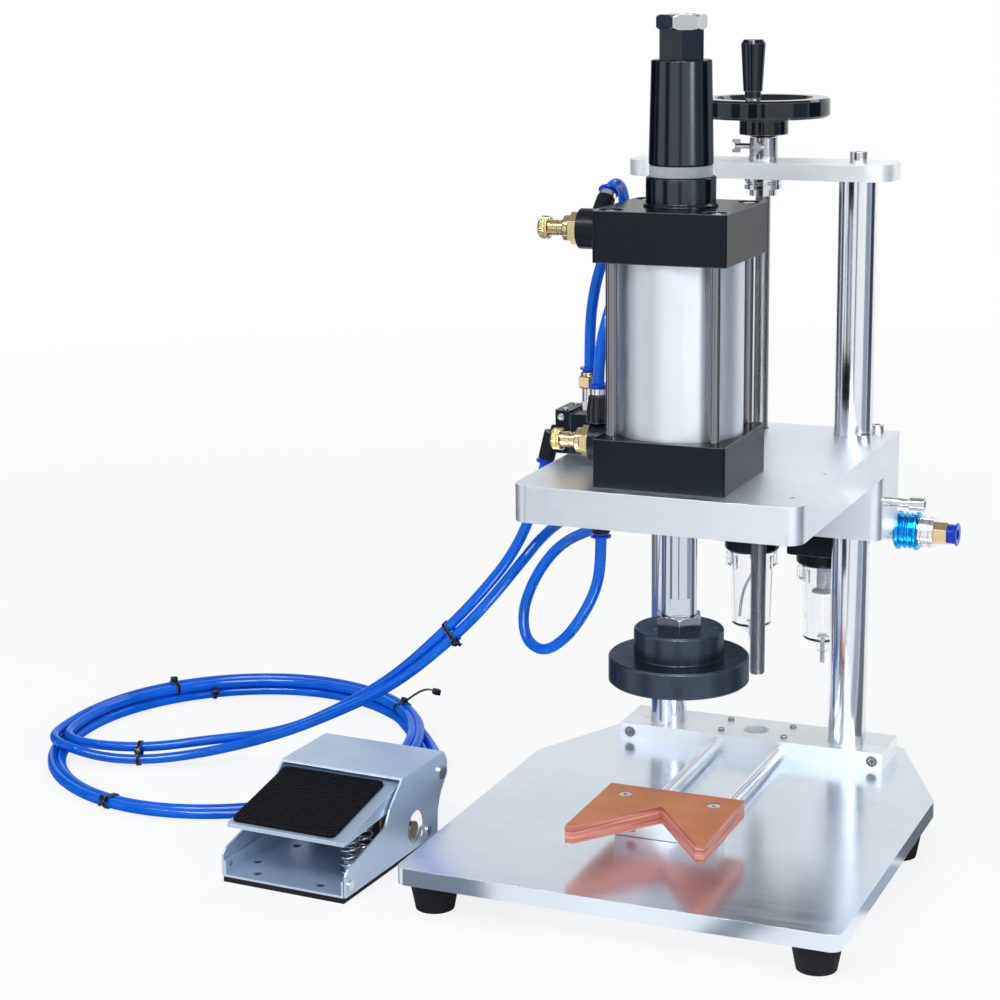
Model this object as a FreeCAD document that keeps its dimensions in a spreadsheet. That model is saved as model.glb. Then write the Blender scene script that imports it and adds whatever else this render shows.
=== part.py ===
import FreeCAD, Part
import Sketcher
import math
import os
import re
from FreeCAD import Placement, Rotation, Vector

# Bench crimping machine for perfume bottles, with its foot pedal.
# Frame: origin on the floor under the centre of the base plate, +X to the right,
# +Y away from the operator, +Z up. Millimetres and degrees.

os.makedirs("parts", exist_ok=True)
doc = FreeCAD.newDocument("CrimpingMachine")

# Driving dimensions, each written once.
DIMENSIONS = {
    # Clearances shared by every fit
    "seat_gap": 0.3,
    "running_fit": 0.05,
    "fixed_fit": 0.02,
    # Rubber feet
    "foot_height": 21.5,
    "foot_top_radius": 17.7,
    "foot_bottom_radius": 13.6,
    "foot_front_x": 136.5,
    "foot_front_y": 164,
    "foot_rear_x": 138,
    "foot_rear_y": 47,
    # Base plate
    "plate_width": 315,
    "plate_depth": 370,
    "plate_thickness": 12,
    "plate_taper_start": 76,
    "plate_rear_width": 216,
    "plate_corner_radius": 8,
    # Base block
    "block_width": 212,
    "block_depth": 47,
    "block_front": 124,
    "block_height": 14,
    "block_hole_radius": 9.3,
    "slit_width": 1.4,
    "clamp_screw_x": 98,
    "clamp_head_radius": 4.25,
    "clamp_head_height": 5,
    "clamp_shank_radius": 2.5,
    "clamp_screw_length": 34,
    "grub_radius": 2.5,
    "grub_length": 4.5,
    "grub_edge": 10.5,
    # Columns and top plate
    "column_x": 72.75,
    "column_y": 145,
    "column_radius": 14.5,
    "column_length": 448,
    "head_width": 204,
    "head_depth": 50,
    "head_thickness": 12,
    "head_corner_radius": 18,
    "head_bolt_radius": 4,
    "head_bolt_head_radius": 6.5,
    "head_bolt_head_height": 8,
    "head_bolt_length": 30,
    "hex_socket_radius": 3,
    "hex_socket_depth": 3.5,
    # Lead screw, its bearing and collar
    "screw_radius": 6,
    "journal_radius": 5,
    "thread_length": 373,
    "race_radius": 14,
    "race_height": 3.2,
    "ball_radius_at": 11.2,
    "ball_gap": 2.6,
    "spacer_radius": 10.2,
    "spacer_height": 5,
    "bearing_body_radius": 9,
    "washer_radius": 11,
    "washer_thickness": 3.5,
    "collar_radius": 10.5,
    "collar_height": 13.5,
    "collar_screw_radius": 2,
    "thumb_screw_reach": 24,
    "wing_height": 10,
    # Handwheel
    "hub_radius": 18.25,
    "hub_height": 10,
    "hub_lift": 2.5,
    "rim_radius": 49,
    "rim_inner_radius": 33,
    "rim_height": 14,
    "rim_lift": 12.8,
    "rim_corner": 4,
    "rim_edge": 1.6,
    "web_thickness": 6,
    "handle_radius_at": 41,
    "handle_angle": 5.5,
    "spindle_radius": 3.5,
    "spindle_length": 38,
    "grip_bottom_radius": 7,
    "grip_top_radius": 9,
    "grip_length": 42,
    "ferrule_height": 5,
    # Carriage: slide block, bushes, nut and plate
    "carriage_rest": 216.5,
    "slide_width": 206,
    "slide_front": 113,
    "slide_depth": 54,
    "slide_height": 47.5,
    "slide_corner_radius": 8,
    "bush_radius": 17,
    "nut_body_radius": 11,
    "nut_flange_radius": 19,
    "nut_flange_height": 7,
    "deck_length": 269,
    "deck_thickness": 26,
    "deck_corner_radius": 12,
    "deck_screw_x": 87.6,
    "deck_screw_front": 120,
    "deck_screw_rear": 160,
    "deck_screw_radius": 3,
    "deck_screw_head_radius": 5,
    "deck_screw_head_height": 5.5,
    "deck_screw_length": 39,
    "dowel_x": 89.3,
    "dowel_front": 72.4,
    "dowel_rear": 5.4,
    "dowel_radius": 2,
    "dowel_depth": 10,
    "lock_y": 127,
    "lock_drop": 19.5,
    "lock_radius": 3.5,
    "lock_depth": 17,
    "lock_shaft_reach": 19,
    "lock_head_radius": 5.25,
    "lock_head_length": 11,
    # Air cylinder
    "ram_y": 44,
    "cap_size": 94,
    "cap_corner": 3,
    "lower_cap_height": 34,
    "upper_cap_height": 35,
    "bore_radius": 40,
    "barrel_wall": 3.5,
    "barrel_length": 120,
    "register_height": 4,
    "spigot_radius": 20,
    "spigot_length": 22,
    "tie_rod_offset": 36.5,
    "tie_rod_radius": 4,
    "tie_rod_thread": 20,
    "tie_nut_flats": 13,
    "tie_nut_height": 7.5,
    "tie_recess_radius": 8.5,
    "tie_recess_depth": 9,
    "port_radius": 6,
    "port_depth": 8,
    "gland_radius": 23.8,
    "gland_height": 20,
    "gland_flare": 1.6,
    "cushion_radius": 21.4,
    "cushion_height": 7.5,
    # Ram
    "ram_rod_radius": 12.5,
    "piston_height": 24,
    "stroke_sleeve_length": 69.6,
    "stroke_sleeve_bottom_radius": 22,
    "stroke_sleeve_top_radius": 20.4,
    "stroke_hex_corner": 16.9,
    "stroke_hex_height": 19.6,
    "stud_radius": 10,
    "lock_nut_flats": 30,
    "lock_nut_height": 10,
    "nut_bevel": 1.7,
    "rod_flats": 21,
    "rod_flats_height": 13,
    "head_drop": 80.5,
    "boss_radius": 31.65,
    "boss_height": 19.7,
    "disc_radius": 49.5,
    "disc_height": 18.8,
    "stud_engagement": 22,
    "collet_radius": 22,
    "collet_height": 13,
    "collet_mouth_radius": 9,
    "collet_throat_radius": 7,
    "collet_slot": 1.6,
    "collet_jaws": 8,
    # Flow controls on the left of the caps
    "flow_upper_rise": 17,
    "flow_lower_rise": 22,
    "flow_gap": 3,
    "flow_body_radius": 14,
    "flow_upper_body": 22,
    "flow_lower_body": 14,
    "flow_hex_corner": 11.3,
    "flow_hex_length": 7,
    "flow_flange_radius": 8.9,
    "flow_flange_length": 4.4,
    "knob_stem_radius": 5.5,
    "knob_stem_length": 11,
    "knob_head_radius": 7.9,
    "knob_head_length": 7.5,
    "needle_radius": 3,
    "needle_length": 9,
    "upper_branch_out": 15,
    "upper_branch_length": 28,
    "lower_branch_out": 12.7,
    "lower_branch_rise": 34,
    # Valve block and hose fittings
    "valve_left": 113,
    "valve_right": 15,
    "valve_front": 6,
    "valve_depth": 31,
    "valve_height": 32,
    "valve_cap_length": 12,
    "front_port_in": 22,
    "front_port_depth": 14,
    "front_port_rise": 27,
    "rear_port_in": 41,
    "rear_port_depth": 18,
    "rear_port_rise": 18,
    "pilot_out": 8,
    "pilot_rise": 12,
    "pilot_drop": 20,
    "pilot_lean": 5,
    "loop_front_x": 50.3,
    "loop_front_y": 65,
    "loop_front_drop": 11.6,
    "loop_rear_x": 66,
    "loop_rear_y": 12,
    "loop_rear_drop": 11,
    "supply_port_x": 62,
    "hose_radius": 4,
    "collet_ring_radius": 6.3,
    "collet_ring_height": 4,
    "elbow_radius": 5.6,
    # Air preparation unit behind the slide block
    "unit_y": 195,
    "unit_port_height": 206.5,
    "unit_width": 51,
    "unit_depth": 44,
    "unit_collar_radius": 21.8,
    "unit_collar_height": 10,
    "unit_rise": 24.5,
    "lubricator_x": -20.5,
    "lubricator_fall": 26,
    "regulator_x": 38.5,
    "regulator_fall": 32,
    "unit_nipple_radius": 9,
    "bowl_flange_radius": 19.8,
    "bowl_flange_height": 12,
    "bowl_radius": 17.4,
    "bowl_length": 63,
    "bowl_taper": 1.9,
    "bowl_rounding": 4,
    "drain_radius": 5,
    "drain_tip_radius": 2.6,
    "lubricator_drain": 11.5,
    "regulator_drain": 20.5,
    "regulator_knob_radius": 17,
    "regulator_knob_height": 30,
    "mount_pad_width": 30,
    "mount_pad_height": 12,
    # Hand slide valve at the air inlet
    "inlet_core_radius": 9,
    "inlet_core_end": 126,
    "inlet_collar_radius": 11.5,
    "inlet_collar_length": 11.5,
    "sleeve_radius": 15,
    "sleeve_length": 18,
    "inlet_hex_corner": 8.65,
    "inlet_hex_length": 10,
    "inlet_collet_radius": 7.5,
    "inlet_collet_length": 6,
    # Bottle locator
    "rod_spacing": 51,
    "rod_radius": 4,
    "rod_height": 40.5,
    "rod_front": 70.9,
    "rod_length": 236,
    "bar_margin": 10,
    "bar_front": 71.4,
    "bar_depth": 17.4,
    "vee_width": 100,
    "vee_front": 137,
    "vee_rear": 46,
    "vee_apex": 78.5,
    "vee_thickness": 12.5,
    "vee_half_mouth": 44,
    "vee_screw_out": 7.5,
    "vee_screw_radius": 2.5,
    "vee_screw_head_radius": 4.75,
    "vee_screw_head_height": 4,
    "vee_screw_length": 24,
    # Foot pedal, in a frame of its own on the floor
    "pedal_x": -243,
    "pedal_y": -108.5,
    "pedal_turn": -3,
    "mat_width": 99,
    "mat_front": 73,
    "mat_length": 136,
    "mat_thickness": 4,
    "tray_width": 98,
    "sheet_thickness": 1.5,
    "tray_flange_height": 12,
    "cover_width": 102,
    "cover_height": 64.5,
    "cover_edge": 16,
    "cover_rear": 77,
    "pin_y": 72,
    "pin_height": 50,
    "pin_radius": 4,
    "port_window_y": 31.5,
    "port_window_height": 20.6,
    "port_window_radius": 12.4,
    "treadle_width": 96,
    "treadle_front": 68.5,
    "treadle_front_height": 43,
    "treadle_rear_height": 60,
    "treadle_sheet": 2,
    "treadle_lip": 3,
    "pad_width": 84,
    "pad_offset": 4,
    "pad_length": 77,
    "pad_corner": 4,
    "pad_thickness": 2.4,
    "pad_groove_depth": 0.7,
    "pad_groove_width": 0.9,
    "pad_groove_count": 22,
    "spring_radius": 7,
    "spring_wire": 1.8,
    "spring_turns": 7,
    "spring_x": 35,
    "spring_y": 38,
    "spring_pitch": 18,
    "spring_post_radius": 4.6,
    "spring_post_height": 14,
    "pedal_valve_width": 60,
    "pedal_valve_front": 16,
    "pedal_valve_depth": 46,
    "pedal_valve_height": 30,
    "plug_radius": 8,
    # Hose coil on the floor
    "coil_x": -430,
    "coil_y": 74,
    "coil_radius": 151,
    "coil_width": 17.4,
    "coil_layer": 9,
    "coil_entry": 185,
    "coil_exit": 40,
    "coil_lap": 10,
    "hose_pitch": 8.7,
}

# Places worked out from the driving dimensions.
LAYOUT = {
    "plate_top": "foot_height + plate_thickness",
    "block_top": "plate_top + block_height",
    "block_rear": "block_front + block_depth",
    "head_bottom": "plate_top + column_length",
    "head_top": "head_bottom + head_thickness",
    "race_top": "head_bottom - race_height",
    "lower_race_top": "race_top - ball_gap",
    "lower_race_bottom": "lower_race_top - race_height",
    "bearing_bottom": "lower_race_bottom - spacer_height",
    "thread_top": "bearing_bottom - seat_gap",
    "washer_top": "head_top + washer_thickness",
    "collar_top": "washer_top + collar_height",
    "hub_bottom": "collar_top + hub_lift",
    "hub_top": "hub_bottom + hub_height",
    "rim_bottom": "hub_bottom + rim_lift",
    "rim_top": "rim_bottom + rim_height",
    "spindle_top": "rim_top + spindle_length",
    "handle_x": "handle_radius_at * sin(handle_angle)",
    "handle_y": "column_y - handle_radius_at * cos(handle_angle)",
    "deck_bottom": "carriage_rest + slide_height",
    "deck_top": "deck_bottom + deck_thickness",
    "slide_rear": "slide_front + slide_depth",
    "lower_cap_top": "deck_top + lower_cap_height",
    "upper_cap_bottom": "lower_cap_top + barrel_length",
    "upper_cap_top": "upper_cap_bottom + upper_cap_height",
    "gland_top": "upper_cap_top + gland_height",
    "cushion_top": "gland_top + cushion_height",
    "sleeve_bottom": "cushion_top + seat_gap",
    "sleeve_top": "sleeve_bottom + stroke_sleeve_length",
    "hex_top": "sleeve_top + stroke_hex_height",
    "lock_nut_top": "hex_top + lock_nut_height",
    "head_boss_top": "deck_bottom - head_drop",
    "disc_top": "head_boss_top - boss_height",
    "disc_bottom": "disc_top - disc_height",
    "rod_shoulder": "head_boss_top + lock_nut_height + seat_gap",
    "stud_bottom": "head_boss_top - stud_engagement",
    "piston_bottom": "lower_cap_top + register_height + 1",
    "valve_top": "deck_top + valve_height",
    "flow_upper_height": "upper_cap_bottom + flow_upper_rise",
    "flow_lower_height": "deck_top + flow_lower_rise",
    "cap_left": "cap_size / 2",
    "unit_top": "unit_port_height + unit_rise",
    "lubricator_bottom": "unit_port_height - lubricator_fall",
    "regulator_bottom": "unit_port_height - regulator_fall",
    "vee_screw_x": "rod_spacing / 2 + vee_screw_out",
    "bar_width": "2 * vee_screw_x + bar_margin",
    "vee_bottom": "block_top + 2",
    "tray_bottom": "mat_thickness",
    "tray_top": "mat_thickness + sheet_thickness",
    "treadle_slope": "atan((treadle_rear_height - treadle_front_height) / (treadle_front + cover_edge))",
}

SHEETS = {}


def write_sheet(sheet_name, cells, as_text):
    sheet = doc.addObject("Spreadsheet::Sheet", sheet_name)
    for row, (alias, content) in enumerate(cells.items(), start=1):
        sheet.set("A%d" % row, alias)
        sheet.set("B%d" % row, as_text(content))
        sheet.setAlias("B%d" % row, alias)
        SHEETS[alias] = sheet_name
    return sheet


def linked(formula):
    """Put the sheet's name before each alias in a formula."""
    def with_sheet(match):
        word = match.group(0)
        return SHEETS[word] + "." + word if word in SHEETS else word
    return re.sub(r"[A-Za-z_][A-Za-z0-9_]*", with_sheet, str(formula))


SHEETS.update({alias: "Dimensions" for alias in DIMENSIONS})
SHEETS.update({alias: "Layout" for alias in LAYOUT})
write_sheet("Dimensions", DIMENSIONS, str)
layout_sheet = write_sheet("Layout", LAYOUT, lambda formula: "=" + linked(formula))
doc.recompute()


def size(formula):
    """The number that a formula of the sheets gives now."""
    result = layout_sheet.evalExpression(linked(formula))
    return float(getattr(result, "Value", result))


def bind(item, **formulas):
    for name, formula in formulas.items():
        item.setExpression(name, linked(formula))
    return item


TURN_Z_TO = {
    "+Z": Rotation(),
    "-Z": Rotation(Vector(1, 0, 0), 180),
    "+X": Rotation(Vector(0, 1, 0), 90),
    "-X": Rotation(Vector(0, 1, 0), -90),
    "+Y": Rotation(Vector(1, 0, 0), -90),
    "-Y": Rotation(Vector(1, 0, 0), 90),
}


def place(item, x=0, y=0, z=0, axis="+Z"):
    item.Placement = Placement(Vector(), TURN_Z_TO[axis])
    for letter, formula in (("x", x), ("y", y), ("z", z)):
        item.setExpression("Placement.Base." + letter, linked(formula))
    return item


def box(length, width, height, x, y, z):
    """A box whose place is its corner of least x, y and z."""
    item = doc.addObject("Part::Box", "Box")
    bind(item, Length=length, Width=width, Height=height)
    return place(item, x, y, z)


def turned_box(length, width, height, centre, z, corner, turn):
    """A box turned about an upright line: centre is the line, corner its near corner from there."""
    item = box(length, width, height, *centre, z)
    item.Placement = Placement(item.Placement.Base, Rotation(Vector(0, 0, 1), turn))
    along, across = math.cos(math.radians(turn)), math.sin(math.radians(turn))
    return bind(item, **{
        "Placement.Base.x": "%s + (%s) * %.9f - (%s) * %.9f" % (centre[0], corner[0], along, corner[1], across),
        "Placement.Base.y": "%s + (%s) * %.9f + (%s) * %.9f" % (centre[1], corner[0], across, corner[1], along),
    })


def rod(radius, height, x=0, y=0, z=0, axis="+Z"):
    item = doc.addObject("Part::Cylinder", "Rod")
    bind(item, Radius=radius, Height=height)
    return place(item, x, y, z, axis)


def cone(radius1, radius2, height, x=0, y=0, z=0, axis="+Z"):
    item = doc.addObject("Part::Cone", "Cone")
    bind(item, Radius1=radius1, Radius2=radius2, Height=height)
    return place(item, x, y, z, axis)


def hexagon(corner_radius, height, x=0, y=0, z=0, axis="+Z"):
    item = doc.addObject("Part::Prism", "Hexagon")
    item.Polygon = 6
    bind(item, Circumradius=corner_radius, Height=height)
    return place(item, x, y, z, axis)


def common(base, tool):
    item = doc.addObject("Part::MultiCommon", "Common")
    item.Shapes = [base, tool]
    return item


def cut(base, *tools):
    item = doc.addObject("Part::Cut", "Cut")
    item.Base = base
    item.Tool = tools[0] if len(tools) == 1 else group(*tools)
    return item


def fuse(*shapes):
    item = doc.addObject("Part::MultiFuse", "Fusion")
    item.Shapes = list(shapes)
    item.Refine = True
    return item


def group(*members):
    item = doc.addObject("Part::Compound", "Group")
    item.Links = list(members)
    return item


def rounded(base, radius, choose, kind="Part::Fillet"):
    """Fillet or chamfer the edges that the choose function accepts."""
    doc.recompute()
    amount = size(radius)
    item = doc.addObject(kind, "Rounding")
    item.Base = base
    picked = [i for i, edge in enumerate(base.Shape.Edges, start=1) if choose(edge)]
    item.Edges = [(i, amount, amount) for i in picked]
    return item


def ends(edge):
    """True for the round edge of an upright cylinder's or cone's end."""
    return edge.Closed and edge.BoundBox.ZLength < 0.001


def nut(bottom, turn, *bevelled):
    """Hexagon nut on the ram's stud, with its corners bevelled at the named heights."""
    corner, axis = "lock_nut_flats / sqrt(3)", (0, "-ram_y")
    blank = hexagon(corner, "lock_nut_height", *axis, bottom)
    blank.Placement = Placement(blank.Placement.Base, Rotation(Vector(0, 0, 1), turn))
    levels = [size(level) for level in bevelled]
    disc = rounded(rod(corner, "lock_nut_height", *axis, bottom), "nut_bevel",
                   lambda edge: ends(edge) and min(abs(edge.BoundBox.ZMin - level) for level in levels) < 0.01,
                   "Part::Chamfer")
    return cut(common(blank, disc), rod("stud_radius + fixed_fit", "lock_nut_height + 2", *axis, bottom + " - 1"))


def upright(edge):
    """True for a straight vertical edge."""
    if not isinstance(edge.Curve, Part.Line):
        return False
    return abs(abs(edge.tangentAt(edge.FirstParameter).z) - 1) < 1e-6


NODES = []


def piece(label, item):
    item.Label = label
    NODES.append((label, item))
    return item


def body(label):
    item = doc.addObject("PartDesign::Body", "Body")
    NODES.append((label, item))
    item.Label = label
    return item


def plane_of(owner, role):
    return next(f for f in owner.Origin.OriginFeatures if f.Role == role)


def polygon_sketch(owner, points, role):
    """A closed outline of straight lines, each corner tied to a pair of formulas."""
    sketch = owner.newObject("Sketcher::SketchObject", "Outline")
    sketch.AttachmentSupport = [(plane_of(owner, role), "")]
    sketch.MapMode = "FlatFace"
    corners = [Vector(size(across), size(up), 0) for across, up in points]
    count = len(corners)
    for i in range(count):
        sketch.addGeometry(Part.LineSegment(corners[i], corners[(i + 1) % count]), False)
    for i in range(count):
        sketch.addConstraint(Sketcher.Constraint("Coincident", i, 2, (i + 1) % count, 1))
    for i, corner in enumerate(points):
        for kind, formula, number, on_axis in (
            ("DistanceX", corner[0], corners[i].x, -2),
            ("DistanceY", corner[1], corners[i].y, -1),
        ):
            if str(formula) == "0":
                sketch.addConstraint(Sketcher.Constraint("PointOnObject", i, 1, on_axis))
                continue
            added = sketch.addConstraint(Sketcher.Constraint(kind, -1, 1, i, 1, number))
            sketch.setExpression("Constraints[%d]" % added, linked(formula))
    return sketch


def circle_sketch(owner, centre, radius, role):
    sketch = owner.newObject("Sketcher::SketchObject", "Circle")
    sketch.AttachmentSupport = [(plane_of(owner, role), "")]
    sketch.MapMode = "FlatFace"
    middle = Vector(size(centre[0]), size(centre[1]), 0)
    sketch.addGeometry(Part.Circle(middle, Vector(0, 0, 1), size(radius)), False)
    added = sketch.addConstraint(Sketcher.Constraint("Radius", 0, size(radius)))
    sketch.setExpression("Constraints[%d]" % added, linked(radius))
    for kind, formula, number, on_axis in (
        ("DistanceX", centre[0], middle.x, -2),
        ("DistanceY", centre[1], middle.y, -1),
    ):
        if str(formula) == "0":
            sketch.addConstraint(Sketcher.Constraint("PointOnObject", 0, 3, on_axis))
            continue
        added = sketch.addConstraint(Sketcher.Constraint(kind, -1, 1, 0, 3, number))
        sketch.setExpression("Constraints[%d]" % added, linked(formula))
    return sketch


def turned(label, profile, x=0, y=0):
    """A body of revolution about a vertical axis, from (radius, height) corners."""
    owner = body(label)
    sketch = polygon_sketch(owner, profile, "XZ_Plane")
    revolution = owner.newObject("PartDesign::Revolution", "Revolution")
    revolution.Profile = sketch
    revolution.ReferenceAxis = (sketch, ["V_Axis"])
    revolution.Angle = 360
    doc.recompute()
    place(owner, x, y, 0)
    return owner


def pad(owner, sketch, length, symmetric=False):
    feature = owner.newObject("PartDesign::Pad", "Pad")
    feature.Profile = sketch
    bind(feature, Length=length)
    if symmetric:
        feature.SideType = "Symmetric"
    doc.recompute()
    return feature


def pocket(owner, sketch, length):
    """A cut to both sides of the sketch plane, checked to take material away."""
    before = owner.Shape.Volume
    feature = owner.newObject("PartDesign::Pocket", "Pocket")
    feature.Profile = sketch
    bind(feature, Length=length)
    feature.SideType = "Symmetric"
    doc.recompute()
    if owner.Shape.Volume > before - 1:
        raise RuntimeError(owner.Label + ": a pocket cuts nothing")
    return feature


# Base plate, feet and base block
def make_base_plate():
    owner = body("base_plate")
    half, rear_half = "plate_width / 2", "plate_rear_width / 2"
    outline = [
        ("-" + half, "-plate_depth / 2"),
        (half, "-plate_depth / 2"),
        (half, "plate_taper_start"),
        (rear_half, "plate_depth / 2"),
        ("-" + rear_half, "plate_depth / 2"),
        ("-" + half, "plate_taper_start"),
    ]
    feature = pad(owner, polygon_sketch(owner, outline, "XY_Plane"), "plate_thickness")
    fillet = owner.newObject("PartDesign::Fillet", "Corners")
    names = ["Edge%d" % i for i, edge in enumerate(feature.Shape.Edges, start=1) if upright(edge)]
    fillet.Base = (feature, names)
    bind(fillet, Radius="plate_corner_radius")
    place(owner, 0, 0, "foot_height")


def make_feet():
    corners = []
    for side in ("", "-"):
        for x, y in (("foot_front_x", "-foot_front_y"), ("foot_rear_x", "foot_rear_y")):
            corners.append(cone("foot_bottom_radius", "foot_top_radius", "foot_height", side + x, y, 0))
    piece("rubber_feet", group(*corners))


def make_base_block():
    holes = [rod("block_hole_radius", "block_height + 2", 0, "column_y", "plate_top - 1")]
    for side in ("", "-"):
        bore = side + "column_x"
        slit_start = "column_x" if side == "" else "-block_width / 2 - 1"
        rod_x = side + "rod_spacing / 2"
        screw_x = side + "clamp_screw_x"
        holes += [
            rod("column_radius + fixed_fit", "block_height + 2", bore, "column_y", "plate_top - 1"),
            box("block_width / 2 + 1 - column_x", "slit_width", "block_height + 2",
                slit_start, "column_y - slit_width / 2", "plate_top - 1"),
            rod("rod_radius + running_fit", "block_depth + 2", rod_x, "block_front - 1", "rod_height", "+Y"),
            rod("clamp_head_radius + seat_gap", "clamp_head_height + 1",
                screw_x, "block_front - 1", "plate_top + block_height / 2", "+Y"),
            rod("clamp_shank_radius + fixed_fit", "clamp_screw_length",
                screw_x, "block_front + 1", "plate_top + block_height / 2", "+Y"),
        ]
        for y in ("block_front + grub_edge", "block_rear - grub_edge"):
            holes.append(rod("grub_radius + fixed_fit", "block_height", rod_x, y, "rod_height"))
    blank = box("block_width", "block_depth", "block_height", "-block_width / 2", "block_front", "plate_top")
    piece("base_block", cut(blank, *holes))


def make_base_block_screws():
    screws = []
    for side in ("", "-"):
        for y in ("block_front + grub_edge", "block_rear - grub_edge"):
            screws.append(rod("grub_radius", "grub_length",
                              side + "rod_spacing / 2", y, "rod_height + rod_radius + seat_gap"))
        screw_x, screw_z = side + "clamp_screw_x", "plate_top + block_height / 2"
        screws.append(cut(
            fuse(rod("clamp_head_radius", "clamp_head_height", screw_x, "block_front", screw_z, "+Y"),
                 rod("clamp_shank_radius", "clamp_screw_length", screw_x, "block_front", screw_z, "+Y")),
            hexagon("clamp_head_radius / 2", "clamp_head_height / 2",
                    screw_x, "block_front", screw_z, "+Y")))
    piece("base_block_screws", group(*screws))


# Columns and the top plate that ties them
def make_columns():
    columns = []
    for side in ("", "-"):
        columns.append(cut(
            rod("column_radius", "column_length", side + "column_x", "column_y", "plate_top"),
            rod("head_bolt_radius + fixed_fit", "head_bolt_length - head_thickness + 1",
                side + "column_x", "column_y", "head_top - head_bolt_length - 1")))
    piece("columns", group(*columns))


def make_top_plate():
    blank = rounded(
        box("head_width", "head_depth", "head_thickness",
            "-head_width / 2", "column_y - head_depth / 2", "head_bottom"),
        "head_corner_radius", upright)
    holes = [rod("bearing_body_radius + fixed_fit", "head_thickness + 2", 0, "column_y", "head_bottom - 1")]
    for side in ("", "-"):
        holes.append(rod("head_bolt_radius + fixed_fit", "head_thickness + 2",
                         side + "column_x", "column_y", "head_bottom - 1"))
    piece("top_plate", cut(blank, *holes))


def cap_screw(shank, length, head, head_height, socket, x, y, seat):
    """A socket screw pointing down, its head resting at height seat."""
    return cut(
        fuse(rod(head, head_height, x, y, seat),
             rod(shank, length, x, y, "%s - (%s)" % (seat, length))),
        hexagon(socket, "hex_socket_depth", x, y, "%s + %s - hex_socket_depth" % (seat, head_height)))


def make_top_plate_bolts():
    bolts = [cap_screw("head_bolt_radius", "head_bolt_length", "head_bolt_head_radius",
                       "head_bolt_head_height", "hex_socket_radius",
                       side + "column_x", "column_y", "head_top") for side in ("", "-")]
    piece("top_plate_bolts", group(*bolts))


# Lead screw with its bearing, collar and handwheel
def make_screw_bearing():
    """Bush in the top plate with a thrust bearing and a spacer under it, and a washer on top."""
    rings = [
        rod("bearing_body_radius", "head_thickness", 0, "column_y", "head_bottom"),
        rod("race_radius", "race_height", 0, "column_y", "race_top"),
        rod("ball_radius_at", "ball_gap", 0, "column_y", "lower_race_top"),
        rod("race_radius", "race_height", 0, "column_y", "lower_race_bottom"),
        rod("spacer_radius", "spacer_height", 0, "column_y", "bearing_bottom"),
    ]
    bearing = cut(fuse(*rings), rod("journal_radius + running_fit", "head_top - bearing_bottom + 2",
                                    0, "column_y", "bearing_bottom - 1"))
    washer = cut(
        rod("washer_radius", "washer_thickness", 0, "column_y", "head_top"),
        rod("journal_radius + seat_gap", "washer_thickness + 2", 0, "column_y", "head_top - 1"))
    piece("screw_bearing", group(bearing, washer))


def make_lead_screw():
    chamfer = "1"
    turned("lead_screw", [
        ("0", "thread_top - thread_length"),
        ("screw_radius - " + chamfer, "thread_top - thread_length"),
        ("screw_radius", "thread_top - thread_length + " + chamfer),
        ("screw_radius", "thread_top"),
        ("journal_radius", "thread_top"),
        ("journal_radius", "rim_bottom + web_thickness / 2"),
        ("0", "rim_bottom + web_thickness / 2"),
    ], 0, "column_y")


def make_lock_collar():
    middle = "washer_top + collar_height / 2"
    ring = cut(
        rod("collar_radius", "collar_height", 0, "column_y", "washer_top"),
        rod("journal_radius + fixed_fit", "collar_height + 2", 0, "column_y", "washer_top - 1"),
        rod("collar_screw_radius + fixed_fit", "collar_radius + 1", 0, "column_y", middle, "-X"),
        rod("collar_screw_radius + fixed_fit", "collar_radius + 1", 0, "column_y", middle, "-Y"))
    start = "journal_radius + seat_gap"
    wing_length, wing_width = "6", "2.4"
    wing = cut(
        box(wing_length, wing_width, "wing_height", "-thumb_screw_reach", "column_y - %s / 2" % wing_width,
            middle + " - wing_height / 2"),
        rod("wing_height / 4", "2 * " + wing_width, "-thumb_screw_reach", "column_y - " + wing_width, middle, "+Y"))
    shank = rod("collar_screw_radius", "thumb_screw_reach - 3 - " + start, "-(%s)" % start, "column_y", middle, "-X")
    square = hexagon("2.2 * collar_screw_radius", "4.5", 0, "column_y - collar_radius - 1", middle, "-Y")
    square.Polygon = 4
    set_screw = fuse(
        rod("collar_screw_radius", "collar_radius + 1.5 - " + start, 0, "column_y - (%s)" % start, middle, "-Y"),
        square)
    piece("lock_collar", group(ring, fuse(shank, wing), set_screw))


def make_handwheel():
    owner = turned("handwheel", [
        ("journal_radius + fixed_fit", "hub_bottom - 2"),
        ("hub_radius / 2", "hub_bottom - 2"),
        ("hub_radius", "hub_bottom"),
        ("hub_radius", "hub_top"),
        ("rim_inner_radius", "rim_bottom + rim_height / 2 - web_thickness / 2"),
        ("rim_inner_radius + rim_corner", "rim_bottom"),
        ("rim_radius - rim_edge", "rim_bottom"),
        ("rim_radius", "rim_bottom + rim_edge"),
        ("rim_radius", "rim_top - rim_edge"),
        ("rim_radius - rim_edge", "rim_top"),
        ("rim_inner_radius + rim_corner", "rim_top"),
        ("rim_inner_radius", "rim_bottom + rim_height / 2 + web_thickness / 2"),
        ("hub_radius", "hub_top + web_thickness"),
        ("hub_radius / 2", "rim_bottom + web_thickness"),
        ("journal_radius + fixed_fit", "rim_bottom + web_thickness"),
    ], 0, "column_y")
    centre = ("handle_radius_at * sin(handle_angle)", "-handle_radius_at * cos(handle_angle)")
    pocket(owner, circle_sketch(owner, centre, "spindle_radius + fixed_fit", "XY_Plane"), "3 * rim_top")


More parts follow.
